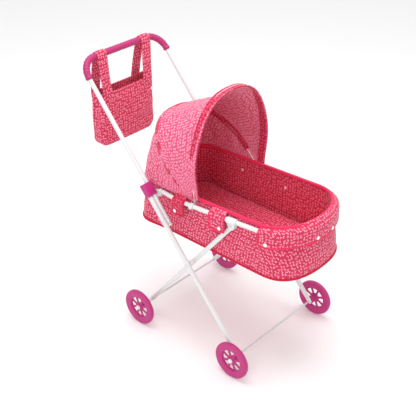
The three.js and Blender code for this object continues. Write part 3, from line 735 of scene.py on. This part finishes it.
handle = tube("handle_tube_bent", handle_line(-0.008), tube_radius, across_handle, white_paint, count=28)
finish_piece(handle, "handle", "white_paint", "handle_tube")
for end, place in (("front", front_axle), ("rear", rear_axle)):
    reach = edges(f"axle_{end}")[1][1]
    rod = np.stack([np.full(12, place[0]), np.linspace(-reach, reach, 12), np.full(12, place[1])], 1)
    axle = tube(f"axle_rod_{end}", rod, axle_radius, (0, 0, 1), bright_steel)
    finish_piece(axle, f"{end}_legs", "steel", f"axle_{end}")

# %% [markdown]
# The rim is the oval that carries the cot: in from the handle, straight along the sides, and half
# an ellipse round the foot end. The cot's edge, its tape and its flaps all follow this line, so it
# is a function of the distance outwards from the tube's middle.

# %% Rim
rim_height, rim_slope, rim_foot = 0.407, 0.05, 0.284
rim_knots = (
    (-0.112, 0.123), (-0.098, 0.1245), (-0.066, 0.130), (-0.052, 0.1315), (0.024, 0.1315), (0.190, 0.124),
)


def rim_z(x):
    """The rim's height: it climbs evenly towards the foot."""
    return rim_height + rim_slope * x


def rim_plan(out=0.0, count=200):
    """The rim's line seen from above, moved outwards by a distance."""
    turn = np.linspace(0, np.pi / 2, 40)[1:]
    knots = np.array(rim_knots)
    from_x, half_width = knots[-1]
    quarter = np.stack([from_x + (rim_foot - from_x) * np.sin(turn), half_width * np.cos(turn)], 1)
    half = np.concatenate([knots, quarter]) * [1, -1]
    whole = softened(evenly(np.concatenate([half, half[-2::-1] * [1, -1]]), count), 4)
    ahead = unit(np.gradient(whole, axis=0))
    return whole + out * np.stack([ahead[:, 1], -ahead[:, 0]], 1)


def on_rim(out=0.0, lift=0.0, count=200):
    """The rim's line in space, moved outwards and up."""
    plan = rim_plan(out, count)
    return np.stack([plan[:, 0], plan[:, 1], rim_z(plan[:, 0]) + lift], 1)


rim = tube("rim_tube_bent", on_rim(), rim_radius, (0, 0, 1), white_paint, count=24)
finish_piece(rim, "carrycot_frame", "white_paint", "rim_tube")

# %% [markdown]
# ## Wheels
# A moulded wheel has a broad tyre ring with a bead round its face, a thin dished web with eight
# windows, and a hub. The ring and hub are lathe work. Each spoke is a short tapered bar, and the
# windows are simply what the spokes leave open.

# %% Wheels
wheel_lane, wheel_half = 0.1718, 0.0064
spoke_count = 8


def wheel_ring(side):
    """The ring's section: flat inner bore, beaded face, domed tread with shallow cross grooves."""
    profile = [
        (28.6, -2.6), (29.4, -3.6), (31.0, -4.2), (33.0, -5.3), (38.0, -6.1), (42.5, -6.2), (43.4, -5.7),
        (44.3, -6.2), (46.4, -5.9), (48.6, -4.6), (49.6, -2.4), (49.75, 0.0), (49.6, 2.4), (48.6, 4.6),
        (46.4, 5.9), (44.3, 6.2), (43.4, 5.7), (42.5, 6.2), (38.0, 6.1), (33.0, 5.3), (31.0, 4.2),
        (29.4, 3.6), (28.6, 2.6),
    ]
    profile = evenly(np.array(profile) / 1000, 60)
    turn = np.linspace(0, 2 * np.pi, 192, endpoint=False)
    tread = eased(profile[:, 0], 0.0478, 0.0494)[:, None]
    groove = 0.00035 * tread * (0.5 - 0.5 * np.cos(48 * turn))[None]
    radius = profile[:, :1] - groove
    y = side * wheel_lane + side * profile[:, 1:] + 0 * radius
    return np.stack([radius * np.cos(turn), y, radius * np.sin(turn)], -1)


def wheel_spoke(side, angle):
    """A bar from hub to ring: 6 mm wide, waisted in the middle, 3 mm thick with rounded edges."""
    r = np.linspace(0.007, 0.0305, 10)
    width = 0.0030 + 0.0012 * ((r - r.mean()) / (r[-1] - r.mean())) ** 2
    path = np.stack([r * math.cos(angle), 0 * r + side * (wheel_lane - 0.0003), r * math.sin(angle)], 1)
    outline = section(np.full(10, 0.0017), width, power=3.2, count=12)
    return swept(path, outline, np.array([-math.sin(angle), 0, math.cos(angle)]))


def joined_grids(name, grids, material, rings=()):
    """Several closed grids in one mesh. Those in rings close on themselves, the others get end fans."""
    points, faces, start = [], [], 0
    for i, grid in enumerate(grids):
        rows, columns = grid.shape[:2]
        points.append(grid.reshape(-1, 3))
        quads = grid_quads(rows, columns, around=True, ring=i in rings) + start
        faces += quads.tolist()
        if i not in rings:
            faces += [list(range(start, start + columns))[::-1]]
            last = start + (rows - 1) * columns
            faces += [list(range(last, last + columns))]
        start += rows * columns
    return make_piece(name, np.concatenate(points), faces, material, sharp=40)


def hub_profile(side):
    """The hub: a boss that reaches in to the leg, with a dished collar on its outer face."""
    inner = -(wheel_lane - front_leg_lane - 0.0032)
    return np.array([
        (3.2, inner * 1000), (7.8, inner * 1000), (8.8, inner * 1000 + 1),
        (9.0, -4.0), (12.6, -2.1), (13.4, -1.2),
        (13.4, 1.2), (12.6, 1.9), (9.6, 2.2), (8.8, 4.1), (3.2, 4.2),
    ]) / 1000


for end, place in (("front", front_axle), ("rear", rear_axle)):
    for hand, side in sides:
        name = f"wheel_{end}_{hand}"
        turn = np.linspace(0, 2 * np.pi, 64, endpoint=False)
        profile = hub_profile(side)
        hub = np.stack([
            profile[:, :1] * np.cos(turn), side * (wheel_lane + profile[:, 1:]) + 0 * turn,
            profile[:, :1] * np.sin(turn)], -1)
        spokes = [wheel_spoke(side, (i + 0.5) * 2 * math.pi / spoke_count) for i in range(spoke_count)]
        move = np.array([place[0], 0, place[1]])
        grids = [grid + move for grid in [wheel_ring(side), hub, *spokes]]
        wheel = joined_grids(f"{name}_moulded", grids, magenta_plastic, rings=(0, 1))
        finish_piece(wheel, name, "pink_plastic", name)
        face = wheel_lane + wheel_half - 0.0022 + 0.0003
        dome = np.array([
            (0.01, 0), (6.2, 0), (6.4, 0.3), (6.3, 1.4), (5.4, 3.5), (3.9, 4.9), (2.2, 5.5), (0.01, 5.7),
        ])
        seat = move + [0, side * face, 0]
        cap = turned(f"hub_cap_{end}_{hand}_dome", dome / 1000, seat, (0, side, 0), white_plastic)
        finish_piece(cap, f"{end}_legs", "white_plastic", f"hub_cap_{end}_{hand}")

# %% [markdown]
# ## Grip
# The grip is one soft moulding pushed over the bar and its corners. Shallow swellings for the
# fingers run along it, and a small ring closes each end.

# %% Grip
grip_line = handle_line(grip_start, 420)
walked = lengths_along(grip_line, 0)
grip_length = walked[-1]
from_end = np.minimum(walked, grip_length - walked)
swell = 0.00075 * np.sin(2 * np.pi * from_end / 0.0165) ** 2 * eased(from_end, 0.012, 0.02)
end_ring = 0.0011 * np.exp(-(((from_end - 0.005) / 0.0022) ** 2))
grip_radius = 0.0083 + swell + end_ring
grip_radius = grip_radius * np.sqrt(np.clip(1 - (1 - np.clip(from_end / 0.0022, 0, 1)) ** 2, 0.5, 1))
grip_grid = swept(grip_line, section(grip_radius, grip_radius, count=32), np.array(across_handle))
grip = surface("handle_grip_moulded", grip_grid, grip_plastic, around=True, caps=True)
finish_piece(grip, "handle", "pink_plastic", "handle_grip")
print("grip length", round(grip_length, 3))

# %% [markdown]
# ## The carrycot
# The cot is a sewn box without a lid: a wall that follows the rim's oval, a floor, a pink tape
# over the top edge and a piping round the bottom. Its wall is one closed skin, down the outside
# and up the inside, so it has a real thickness. The foot end leans out towards the bottom, as
# cloth does that hangs from a narrower hoop.

# %% Cot outlines
cot_bottom, top_height, top_slope = edges("carrycot")[0][2] + 0.001, 0.4228, 0.03


def oval(foot, rear, half_width, foot_length, rear_length, flare=0.0, square=2.1, count=260):
    """Half a superellipse at the foot, straight sides, and a squarer one at the head."""
    turn = np.linspace(-np.pi / 2, np.pi / 2, 90)
    c, s = np.cos(turn), np.sin(turn)
    across = half_width * np.sign(s) * np.abs(s) ** (2 / square)
    nose = np.stack([foot - foot_length * (1 - np.abs(c) ** (2 / square)), across], 1)
    turn = np.linspace(np.pi / 2, 1.5 * np.pi, 90)
    c, s, power = np.cos(turn), np.sin(turn), 2 / 2.7
    across = half_width * np.sign(s) * np.abs(s) ** power
    tail = np.stack([rear + rear_length * (1 - np.abs(c) ** power), across], 1)
    line = evenly(np.concatenate([nose, tail]), count, closed=True)
    line = softened(line, 6, closed=True)
    towards_head = eased(-line[:, 0], 0.09, 0.2)
    line[:, 1] *= 1 + flare / half_width * towards_head
    return line


top_oval = oval(0.2745, -0.2125, 0.1180, 0.086, 0.072)
bottom_oval = oval(0.2850, -0.2190, 0.1195, 0.084, 0.070, flare=0.008, square=2.5)


def top_z(x):
    """Height of the cot's top edge."""
    return top_height + top_slope * x


def cot_ring(down, inset=0.0):
    """The wall's outline at a share of its height: top oval at 0, bottom oval at 1, easing between."""
    share = eased(down, 0.12, 0.95)
    plan = top_oval + (bottom_oval - top_oval) * share
    ahead = unit(np.roll(plan, -1, axis=0) - np.roll(plan, 1, axis=0))
    inward = np.stack([-ahead[:, 1], ahead[:, 0]], 1)
    z = top_z(plan[:, 0]) * (1 - down) + cot_bottom * down
    around = lengths_along(plan, 0)
    hang = math.sin(math.pi * min(max(down, 0), 1))
    fold = 0.0016 * hang * ripple(around, 0.12 * down + 0 * around, seed=4)
    plan = plan + inward * (inset - fold)[:, None]
    return np.stack([plan[:, 0], plan[:, 1], z], 1)


def two_sided(obj, material, first_face):
    """Gives the faces from first_face onwards a second material, the lining."""
    obj.data.materials.append(material)
    index = np.zeros(len(obj.data.polygons), int)
    index[first_face:] = 1
    obj.data.polygons.foreach_set("material_index", index)
    return obj


def finish_soft(obj, *nodes, keep=0.3):
    """Cot cloth rides with the rim and gets a mesh of its own."""
    finish_piece(obj, "carrycot_frame", "printed_cotton", *nodes)
    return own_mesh(obj)


wall_thickness = 0.0024
levels = np.linspace(0, 1, 44)
outside = np.stack([cot_ring(h) for h in levels])
inside = np.stack([cot_ring(h, wall_thickness) for h in levels[::-1]])
wall = surface("cot_wall", np.concatenate([outside, inside]), outer_cotton, around=True, ring=True)
two_sided(wall, lining_cotton, (len(levels) - 1) * outside.shape[1])
finish_soft(wall, "carrycot")


def pancake(name, outline, low, high, material, rings=10):
    """A flat closed piece: the outline scaled up from its middle, over the edge and back."""
    middle = outline.mean(axis=0)
    scale = np.linspace(0.02, 1, rings) ** 0.8
    shrunk = middle + (outline - middle) * scale[:, None, None]
    below = np.concatenate([shrunk, np.full((rings, len(outline), 1), low)], -1)
    above = np.concatenate([shrunk[::-1], np.full((rings, len(outline), 1), high)], -1)
    return surface(name, np.concatenate([below, above]), material, around=True, caps=True, sharp=50)


floor_oval = cot_ring(1.0, wall_thickness + 0.0004)[:, :2]
finish_soft(pancake("cot_floor", floor_oval, cot_bottom, cot_bottom + 0.0022, outer_cotton))
print("cot wall", wall.dimensions[:], "long, wide, high")

# %% [markdown]
# The tape is folded over the raw top edge, so it is a flat oval in section. The piping round
# the bottom is a cord inside a strip of the same cloth, with a narrow seam allowance above it.

# %% Tape and piping round the cot
upward = np.array([0, 0, 1.0])


def edging(name, path, half_width, half_height, material):
    """A closed edging: a superellipse section carried once round the cot."""
    grid = swept(path, section(half_width, half_height, power=2.6, count=18), upward, closed=True)
    return surface(name, grid, material, around=True, ring=True)


tape_line = cot_ring(0.0, wall_thickness / 2)
finish_soft(edging("cot_top_tape", tape_line, 0.0036, 0.0040, hot_pink_tape))
piping_line = cot_ring(1.0, -0.0006)
finish_soft(edging("cot_bottom_piping", piping_line + [0, 0, -0.0002], 0.0024, 0.0031, crimson_piping_and_shade_binding))

# %% [markdown]
# Stitches make cloth look sewn. Each is a tiny spindle that lies along the seam; hundreds of them
# are one mesh, worked out together.

# %% Stitches


def stitches(name, path, material, lift=(0, 0, 1.0), pitch=0.0042, length=0.0028, radius=0.00042):
    """Spindles of six rings and six sides, one every pitch along a line, each turned along it."""
    total = lengths_along(path, 0)[-1]
    count = max(int(total / pitch), 2)
    middles = evenly(path, count)
    ahead = unit(np.gradient(middles, axis=0))
    side = unit(np.cross(ahead, np.array(lift, float)))
    up = np.cross(side, ahead)
    along = np.linspace(-1, 1, 6)
    thick = radius * np.sqrt(1.02 - along**2)
    turn = np.linspace(0, 2 * np.pi, 6, endpoint=False)
    core = middles[:, None, None] + 0.5 * length * along[:, None, None] * ahead[:, None, None]
    spoke = np.cos(turn)[:, None] * side[:, None, None] + np.sin(turn)[:, None] * up[:, None, None]
    grid = core + thick[:, None, None] * spoke
    quads = grid_quads(6, 6, around=True)
    each = quads[None] + 36 * np.arange(count)[:, None, None]
    tips = np.stack([np.arange(5, -1, -1), np.arange(30, 36)])
    ends = tips[None] + 36 * np.arange(count)[:, None, None]
    faces = each.reshape(-1, 4).tolist() + ends.reshape(-1, 6).tolist()
    return make_piece(name, grid.reshape(-1, 3), faces, material)


thread_pink = moulded("sewing_thread", linear(236, 84, 128), 0.6, cloudy=0.1)
seam_line = cot_ring(0.0, wall_thickness / 2 - 0.0034) - [0, 0, 0.0022]
finish_soft(stitches("cot_tape_stitches", np.vstack([seam_line, seam_line[:1]]), thread_pink))

# %% [markdown]
# ## The mattress board
# A stiff board in a cotton cover lies on the cot's floor. It starts as a thin slab, and a cloth
# simulation with a little air pressure rounds its edges and puckers its cover. The remesh throws
# UVs away, so its print reads Object coordinates.

# %% Padded base


def inflate(obj, voxel, pressure, limit):
    """Remesh, swell as cloth, cap how far any point moved, and apply the result."""
    remesh = obj.modifiers.new("even mesh", "REMESH")
    remesh.mode, remesh.voxel_size = "VOXEL", voxel
    deps = bpy.context.evaluated_depsgraph_get()
    obj.data = bpy.data.meshes.new_from_object(obj.evaluated_get(deps))
    obj.modifiers.clear()
    start = np.zeros(len(obj.data.vertices) * 3)
    obj.data.vertices.foreach_get("co", start)
    simulation = obj.modifiers.new("air", "CLOTH")
    simulation.settings.use_pressure = True
    simulation.settings.uniform_pressure_force = pressure
    simulation.settings.effector_weights.gravity = 0
    simulation.settings.quality = 4
    for step in range(1, 21):
        bpy.context.scene.frame_set(step)
    deps = bpy.context.evaluated_depsgraph_get()
    swollen = obj.evaluated_get(deps).to_mesh()
    end = np.zeros(len(swollen.vertices) * 3)
    swollen.vertices.foreach_get("co", end)
    obj.modifiers.clear()
    bpy.context.scene.frame_set(1)
    move = (end - start).reshape(-1, 3)
    far = np.linalg.norm(move, axis=1, keepdims=True)
    capped = start.reshape(-1, 3) + move * np.minimum(1, limit / np.maximum(far, 1e-9))
    obj.data.vertices.foreach_set("co", capped.ravel())
    obj.data.shade_smooth()
    finer = obj.modifiers.new("finer", "SUBSURF")
    finer.levels = finer.render_levels = 1
    return obj


board_oval = cot_ring(1.0, 0.0115)[:, :2]
board = pancake("mattress_board", board_oval, cot_bottom + 0.0040, cot_bottom + 0.0095, pad_cotton, rings=24)
inflate(board, voxel=0.004, pressure=4.0, limit=0.0035)
finish_soft(board, "base_board", keep=0.6)
print("mattress board", len(board.data.vertices), "points")

# %% [markdown]
# ## Flaps over the rim
# Five tabs are sewn under the tape, go over the rim tube and hang outside it, each held by press
# studs. A flap is the rim's line carried through a bent profile: over the tube, then down. Its
# free edges are bound with the same pink tape; on the two head flaps under the hood, darker
# cotton and a darker crimson binding are painted shade.

# %% Flaps
flap_profile = np.array([
    (-9.0, 14.0), (-6.5, 12.2), (-3.4, 9.2), (0.0, 7.2), (3.6, 6.3), (6.4, 3.4), (7.5, -1.0), (7.7, -7.0),
    (7.6, -15.0), (7.4, -24.0), (7.2, -35.0),
]) / 1000
flap_thickness = 0.0011


def flap_grid(x_from, x_to, side, seed, columns=90):
    """The profile (outwards, up) at each point of the rim between two places, with slight folds."""
    line = rim_plan(0.0, 1400)
    chosen = (line[:, 0] >= x_from) & (line[:, 0] <= x_to)
    chosen &= (line[:, 1] * side > 0) if side else chosen
    line = evenly(line[chosen], columns)
    ahead = unit(np.gradient(line, axis=0))
    outward = np.stack([ahead[:, 1], -ahead[:, 0]], 1)
    profile = softened(evenly(flap_profile, 36), 3)
    u, v = lengths_along(line, 0)[None], lengths_along(profile, 0)[:, None]
    loose = eased(v, 0.03, 0.055)
    out = profile[:, :1] + 0.0011 * loose * ripple(u + 0 * v, v + 0 * u, seed, longest=0.07)
    plan = line[None] + out[..., None] * outward[None]
    z = rim_z(line[None, :, 0]) + profile[:, 1:]
    return np.concatenate([plan, (z + 0 * plan[..., 0])[..., None]], -1)


def border_of(grid, start_row=6):
    """The free edge of a flap: down one side, along the bottom and up the other side."""
    return np.concatenate([grid[start_row:, 0], grid[-1, 1:-1], grid[start_row:, -1][::-1]])


def add_sheet(obj, thickness, offset=0.0, inner=None):
    if inner:
        obj.data.materials.append(inner)
    solid = obj.modifiers.new("cloth thickness", "SOLIDIFY")
    solid.thickness, solid.offset = thickness, offset
    solid.material_offset = 1 if inner else 0
    return obj


def add_flap(name, node, x_from, x_to, side, seed, material):
    """One flap with its bound edge; both hang from the rim."""
    grid = flap_grid(x_from, x_to, side, seed)
    flap = surface(name, grid, material)
    finish_piece(flap, "carrycot_frame", "printed_cotton", node)
    add_sheet(flap, flap_thickness)
    edge = evenly(softened(border_of(grid), 3), 260)
    normals = unit(edge - np.array([edge[:, 0].mean() * 0.3, 0, edge[0, 2]]) * [1, 1, 0])
    flat = np.column_stack([normals[:, :2], 0 * normals[:, 2]])
    ahead = unit(np.gradient(edge, axis=0))
    side_way = unit(np.cross(ahead, unit(flat)))
    lift = np.cross(side_way, ahead)
    outline = section(0.0025, 0.0012, power=2.8, count=14)
    tape = edge[:, None] + side_way[:, None] * outline[None, :, :1] + lift[:, None] * outline[None, :, 1:]
    # Flaps in any cloth but the outer cotton, the head flaps under the hood, get the darker crimson binding:
    # painted shade.
    binding = surface(name + "_binding", tape, hot_pink_tape if material is outer_cotton else crimson_piping_and_shade_binding,
                      around=True, caps=True)
    finish_piece(binding, "carrycot_frame", "printed_cotton")
    return flap


add_flap("foot_flap", "flap_foot", 0.196, 0.3, 0, 11, outer_cotton)
for number, (hand, side) in enumerate(sides):
    add_flap(f"side_flap_{hand}", f"flap_side_{hand}", 0.053, 0.098, side, 21 + number, outer_cotton)
    # The head flaps under the hood take the darker cotton as painted shade.
    add_flap(f"head_flap_{hand}", f"flap_head_{hand}", -0.063, -0.027, side, 31 + number, sleeve_and_shade_cotton)

# %% [markdown]
# ## Press studs
# The caps are white plastic, with a raised rim and a dimple from the press. The other half of each
# side stud shows as a plain disc on the inside of the cot.

# %% Press studs
stud_profile = np.array([
    (0.01, 0.0), (4.5, 0.0), (4.75, 0.35), (4.7, 0.9), (4.3, 1.35), (3.7, 1.5), (3.1, 1.38), (2.4, 1.42),
    (1.6, 1.7), (0.8, 1.82), (0.01, 1.84),
]) / 1000


def outwards_at(place):
    """The rim's outward direction at its point nearest to a place."""
    line = rim_plan(0.0, 700)
    near = np.linalg.norm(line - place[:2], axis=1).argmin()
    ahead = unit(np.gradient(line, axis=0))[near]
    return np.array([ahead[1], -ahead[0], 0.0])


for hand, side in sides:
    for label in ("side", "head", "corner", "end"):
        node = f"popper_{label}_{hand}"
        place = centre(node) - origin
        out = outwards_at(place)
        name = f"press_stud_{label}_{hand}"
        stud = turned(name, stud_profile, place - 0.0006 * out, out, stud_plastic, 36, 60)
        finish_piece(stud, "carrycot_frame", "popper_white", node)
    for number, x in enumerate((-0.054, 0.086)):
        inner = np.array([x, side * (0.1180 - wall_thickness), 0.386])
        name = f"stud_back_{hand}_{number}"
        back = turned(name, stud_profile * 0.8, inner, (0, -side, 0), stud_plastic, 30, 60)
        finish_soft(back)

# %% [markdown]
# ## The hood
# The canopy is one sheet between three lines: the front bow, the middle bow and the cot's
# head end. Between two of these lines the cloth is stretched straight, so a point runs
# evenly from one line to the next. A little slack lets the roof sag and the back belly out, and
# smoothing rounds the ridge where the middle bow pushes the cloth up.

# %% Hood lines
front_angle, middle_angle = math.radians(90), math.radians(140)
front_height, middle_height, bow_width, bulge = 0.2635, 0.2440, 0.1262, 0.013
wire_radius = 0.0016


def arch(angle, half_width, height, swell, foot, count, power=2.5):
    """The bow's line: a superellipse on the pivot axis, tilted by an angle and swollen above its feet."""
    turn = np.linspace(foot, np.pi - foot, 400)
    above = np.minimum(turn, np.pi - turn)
    width = half_width + swell * (1 - np.exp(-((above / 0.22) ** 2)))
    across = -np.sign(np.cos(turn)) * width * np.abs(np.cos(turn)) ** (2 / power)
    up = height * np.sin(turn) ** (2 / power)
    x, z = hood_pivot[0] + up * math.cos(angle), hood_pivot[1] + up * math.sin(angle)
    return evenly(np.stack([x, across, z], 1), count)


def head_line(count, drop, out):
    """The cot's top edge from beside one clip, round the head and back to the other clip."""
    plan = oval(0.2745, -0.2125 - out, 0.1180 + out, 0.086, 0.072, count=600)
    behind = plan[plan[:, 0] < hood_pivot[0] - 0.006]
    behind = behind[np.argsort(np.unwrap(np.arctan2(behind[:, 1], behind[:, 0] + 0.05) % (2 * np.pi)))[::-1]]
    return evenly(np.column_stack([behind, top_z(behind[:, 0]) - drop]), count)


columns = 150
front_line = arch(front_angle, bow_width, front_height, bulge + 0.0045, 0.030, columns) + [0.012, 0, 0]
middle_line = arch(middle_angle, bow_width - 0.004, middle_height, bulge + 0.0035, 0.030, columns)
rear_line = head_line(columns, 0.007, 0.0046)
if rear_line[0, 1] > 0:
    rear_line = rear_line[::-1]


def between(first, second, count, slack, across):
    """Rows that run evenly from one line to the other, bowed by a slack that is largest midway."""
    share = np.linspace(0, 1, count)[:, None, None]
    rows = first * (1 - share) + second * share
    return rows + np.sin(np.pi * share) * slack * across[None]


place_across = np.sin(np.linspace(0, np.pi, columns))[:, None]
roof = between(front_line, middle_line, 40, -0.006, place_across**1.5 * [0.25, 0, 1.0])
rear = between(middle_line, rear_line, 40, 0.003, place_across * [-1.0, 0, 0.25])
canopy_grid = np.concatenate([roof, rear[1:]])
canopy_grid = softened(canopy_grid, 5)
u, v = lengths_along(canopy_grid, 1), lengths_along(canopy_grid, 0)
inner_part = eased(v, 0.0, 0.03) * eased(v[-1:] - v, 0.0, 0.03)
folds = 0.0016 * ripple(u, v, seed=8, longest=0.13) + 0.0012 * ripple(u, 0.3 * v, seed=9, longest=0.05)
canopy_normals = grid_normals(canopy_grid)
if np.einsum("k,k->", canopy_normals[10, columns // 2], upward) < 0:
    canopy_normals = -canopy_normals
canopy_grid = canopy_grid + canopy_normals * (inner_part * folds)[..., None]

# %% [markdown]
# The canopy is one fixed sheet that stands for the CAD hood cover, with the lining on its inner face.

# %% Canopy, hem and sleeve


canopy = surface("hood_canopy", canopy_grid, hood_cotton)
probe = canopy.data.polygons[len(canopy.data.polygons) // 6 + columns // 2].normal
if probe.z < 0:
    canopy.data.flip_normals()
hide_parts("hood_cover")
add_sheet(canopy, 0.0011, -1.0, hood_lining)
blend_way = unit(np.array([0.82, 0.57]))
start = np.array([-0.003, 0.407]) + blend_way * (0.180 - 0.2594)
end = start + blend_way * 0.170
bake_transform(canopy)


def bow(name, angle, half_width, height, lane, node, body):
    """The wire: from an eye beside the clip, out to the arch and over."""
    line = arch(angle, half_width, height, bulge, 0.09, 150)
    toe = np.array([hood_pivot[0] + 0.003 * math.cos(angle), lane, hood_pivot[1] + 0.003 * math.sin(angle)])
    line = np.concatenate([[toe * [1, -1, 1]], line, [toe]])
    wire = tube(name, evenly(line, 240), wire_radius, (math.sin(angle), 0, -math.cos(angle)), white_paint, 12)
    return finish_piece(wire, body, "white_paint", node)


bow("hood_bow_front_wire", front_angle, 0.1255, 0.262, 0.1223, "hood_bow_front", "hood_front")
bow("hood_bow_middle_wire", middle_angle, 0.1209, 0.242, 0.1189, "hood_bow_middle", "hood_middle")


def sleeve(name, angle, half_width, height, width, foot, lift, body, edge=0.0):
    """A flat tunnel of cloth sewn to the inside of the canopy, round a bow."""
    line = arch(angle, half_width, height, bulge + 0.003, foot, 200)
    plane_up = np.array([math.sin(angle), 0, -math.cos(angle)])
    outline = section(width / 2, lift, power=3.0, count=22)
    shift = np.array([edge, 0.0])
    ahead = unit(np.gradient(line, axis=0))
    side_way = np.broadcast_to(plane_up, line.shape)
    inward = np.cross(ahead, side_way)
    to_middle = np.array([hood_pivot[0], 0, hood_pivot[1] + 0.05]) - line
    inward = inward * np.sign(np.einsum("ij,ij->i", inward, to_middle))[:, None]
    at = outline + shift
    grid = line[:, None] + side_way[:, None] * at[None, :, :1] + inward[:, None] * (at[None, :, 1:] + lift)
    piece = surface(name, grid, sleeve_and_shade_cotton, around=True, caps=True)
    return finish_piece(piece, body, "printed_cotton")


sleeve(
    "hood_front_hem", front_angle, bow_width - 0.0005, front_height - 0.0003, 0.0220, 0.034, 0.0027,
    "hood_front", edge=0.001,
)
sleeve(
    "hood_middle_sleeve", middle_angle, bow_width - 0.0045, middle_height - 0.0005, 0.0170, 0.17, 0.0025,
    "hood_middle",
)
print("canopy", canopy_grid.shape[:2], "hood top", round(float(canopy_grid[..., 2].max()), 4))

# %% [markdown]
# ## The bag
# A soft flat bag hangs from the push bar. Its outline is a superellipse at every height,
# boxy at the bottom; the sides are tucked in towards the top, where a stud gathers the
# gusset. The shell goes up the outside and down the inside, so that it is open and has a
# hem's thickness.

# %% Bag
bag_low, bag_high = edges("bag_body")
bag_middle = (bag_low[0] + bag_high[0]) / 2
bag_half_depth, bag_half_width = (bag_high[0] - bag_low[0]) / 2, bag_high[1]
bag_floor, bag_rim = bag_low[2], bag_high[2]


def bag_ring(up, inset, shrink=1.0, count=220):
    """The bag's outline at a share of its height: tucked sides, bellied panels, raised corners."""
    turn = np.linspace(0, 2 * np.pi, count, endpoint=False)
    c, s = np.cos(turn), np.sin(turn)
    power = 2 / 7
    depth = bag_half_depth * (0.80 + 0.16 * math.sin(math.pi * (0.15 + 0.75 * up))) - inset
    width = bag_half_width * (0.975 + 0.02 * (1 - up)) - inset
    corner = 0.012 * max(0.0, 1 - up / 0.12) ** 2
    x = depth * np.sign(c) * np.abs(c) ** power
    y = (width - corner) * np.sign(s) * np.abs(s) ** power
    gusset = eased(up, 0.25, 1.0) * eased(np.abs(y), 0.070, bag_half_width)
    y = y - np.sign(y) * 0.014 * gusset * np.exp(-((x / 0.0075) ** 2))
    slack = 0.0016 * math.sin(math.pi * up) + 0.0009 * up
    x = x + np.sign(x) * slack * ripple(y, up * 0.148 + 0 * y, seed=15, longest=0.09)
    x = x + 0.003 * math.sin(math.pi * up) * np.sign(x) * (1 - (y / bag_half_width) ** 2)
    rim_lift = up**6 * (0.0035 * np.abs(y / bag_half_width) ** 3 - 0.003)
    z = bag_floor + (bag_rim - bag_floor) * up + rim_lift + 0 * x
    ring = np.stack([x * shrink + bag_middle, y * shrink, z], 1)
    return ring


def bag_shell():
    """Rings from the middle of the floor, up the outside, over the hem and down the inside."""
    floor_out = [bag_ring(0.0, 0.0, s) + [0, 0, -0.0018 * (1 - s**2)] for s in (0.03, 0.3, 0.6, 0.85, 0.95)]
    outer = [bag_ring(up, 0.0) for up in np.linspace(0, 1, 46) ** 0.9]
    hem = [bag_ring(1.0, 0.0008) + [0, 0, 0.0007]]
    inner = [bag_ring(up, 0.0017) for up in (np.linspace(0.012, 1, 40) ** 0.9)[::-1]]
    floor_in = [bag_ring(0.012, 0.0017, s) for s in (0.95, 0.85, 0.6, 0.3, 0.03)]
    return np.stack(floor_out + outer + hem + inner + floor_in), len(floor_out) + len(outer)


def finish_bag(obj, *nodes, slot="printed_cotton"):
    """Everything on the bag swings with it and gets a mesh of its own."""
    finish_piece(obj, "bag", slot, *nodes)
    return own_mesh(obj)


shell, lining_row = bag_shell()
bag = surface("bag_shell", shell, outer_cotton, around=True, caps=True)
two_sided(bag, lining_cotton, lining_row * shell.shape[1])
finish_bag(bag, "bag_body")
hem_line = bag_ring(0.965, -0.0006)
finish_bag(stitches("bag_hem_stitches", np.vstack([hem_line, hem_line[:1]]), thread_pink))

# %% [markdown]
# Each strap is one flat band: sewn to the front, over the bar and down to the back. It is a
# sheet, carried along its path with a slight cup across its width, and it leans a little
# sideways because the cloth is soft.

# %% Straps
strap_width = 0.030
bar_reach = 0.0104


def strap_grid(lanes, seed, rows=150, columns=14):
    """Front leg, half turn over the bar, back leg; lanes are Y at the front, the bar and the back."""
    front_x = bag_middle + bag_half_depth * 0.86 + 0.0016
    back_x = bag_middle - bag_half_depth * 0.86 - 0.0016
    sewn = bag_rim - 0.018
    turn = np.linspace(-0.1, np.pi + 0.1, 40)
    over = np.stack([crossbar[0] + bar_reach * np.cos(turn), crossbar[1] + bar_reach * np.sin(turn)], 1)
    line = np.concatenate([[[front_x, sewn], [front_x, bag_rim], [front_x - 0.002, bag_rim + 0.012]], over,
                           [[back_x + 0.002, bag_rim + 0.012], [back_x, bag_rim], [back_x, sewn]]])
    line = evenly(line, rows)
    line[8:-8] = softened(line, 6)[8:-8]
    share = np.linspace(0, 1, rows)
    lane = np.interp(share, (0, 0.5, 1), lanes)
    lane = lane + 0.0015 * np.sin(9 * share + seed)
    ahead = unit(np.gradient(line, axis=0))
    out = np.stack([-ahead[:, 1], ahead[:, 0]], 1) * -1
    if (out[rows // 4] @ (line[rows // 4] - [bag_middle, crossbar[1]])) < 0:
        out = -out
    across = np.linspace(-0.5, 0.5, columns)
    cup = 0.0022 * (1 - (2 * across) ** 2)[None] * np.sin(np.pi * share)[:, None] ** 0.5
    crease = 0.0007 * ripple(strap_width * across[None] + 0 * share[:, None], 0.3 * share[:, None], seed)
    lift = cup * 0.5 + crease * eased(share, 0.04, 0.15)[:, None] * eased(1 - share, 0.04, 0.15)[:, None]
    plan = line[:, None] + out[:, None] * lift[..., None]
    y = lane[:, None] + strap_width * across[None]
    return np.stack([plan[..., 0], y, plan[..., 1]], -1)


strap_lanes = {"right": (-0.067, -0.0735, -0.073), "left": (0.0745, 0.0800, 0.0660)}
for number, (hand, side) in enumerate(sides):
    grid = strap_grid(strap_lanes[hand], 3 + number)
    strap = surface(f"strap_{hand}", grid, outer_cotton)
    finish_bag(strap, f"bag_strap_{hand}")
    add_sheet(strap, 0.0016)
    place = centre(f"bag_popper_{hand}") - origin
    seat = place + [-0.0008, 0, 0]
    stud = turned(f"press_stud_bag_{hand}", stud_profile, seat, (1, 0, 0), stud_plastic, 36, 60)
    finish_bag(stud, f"bag_popper_{hand}", slot="popper_white")
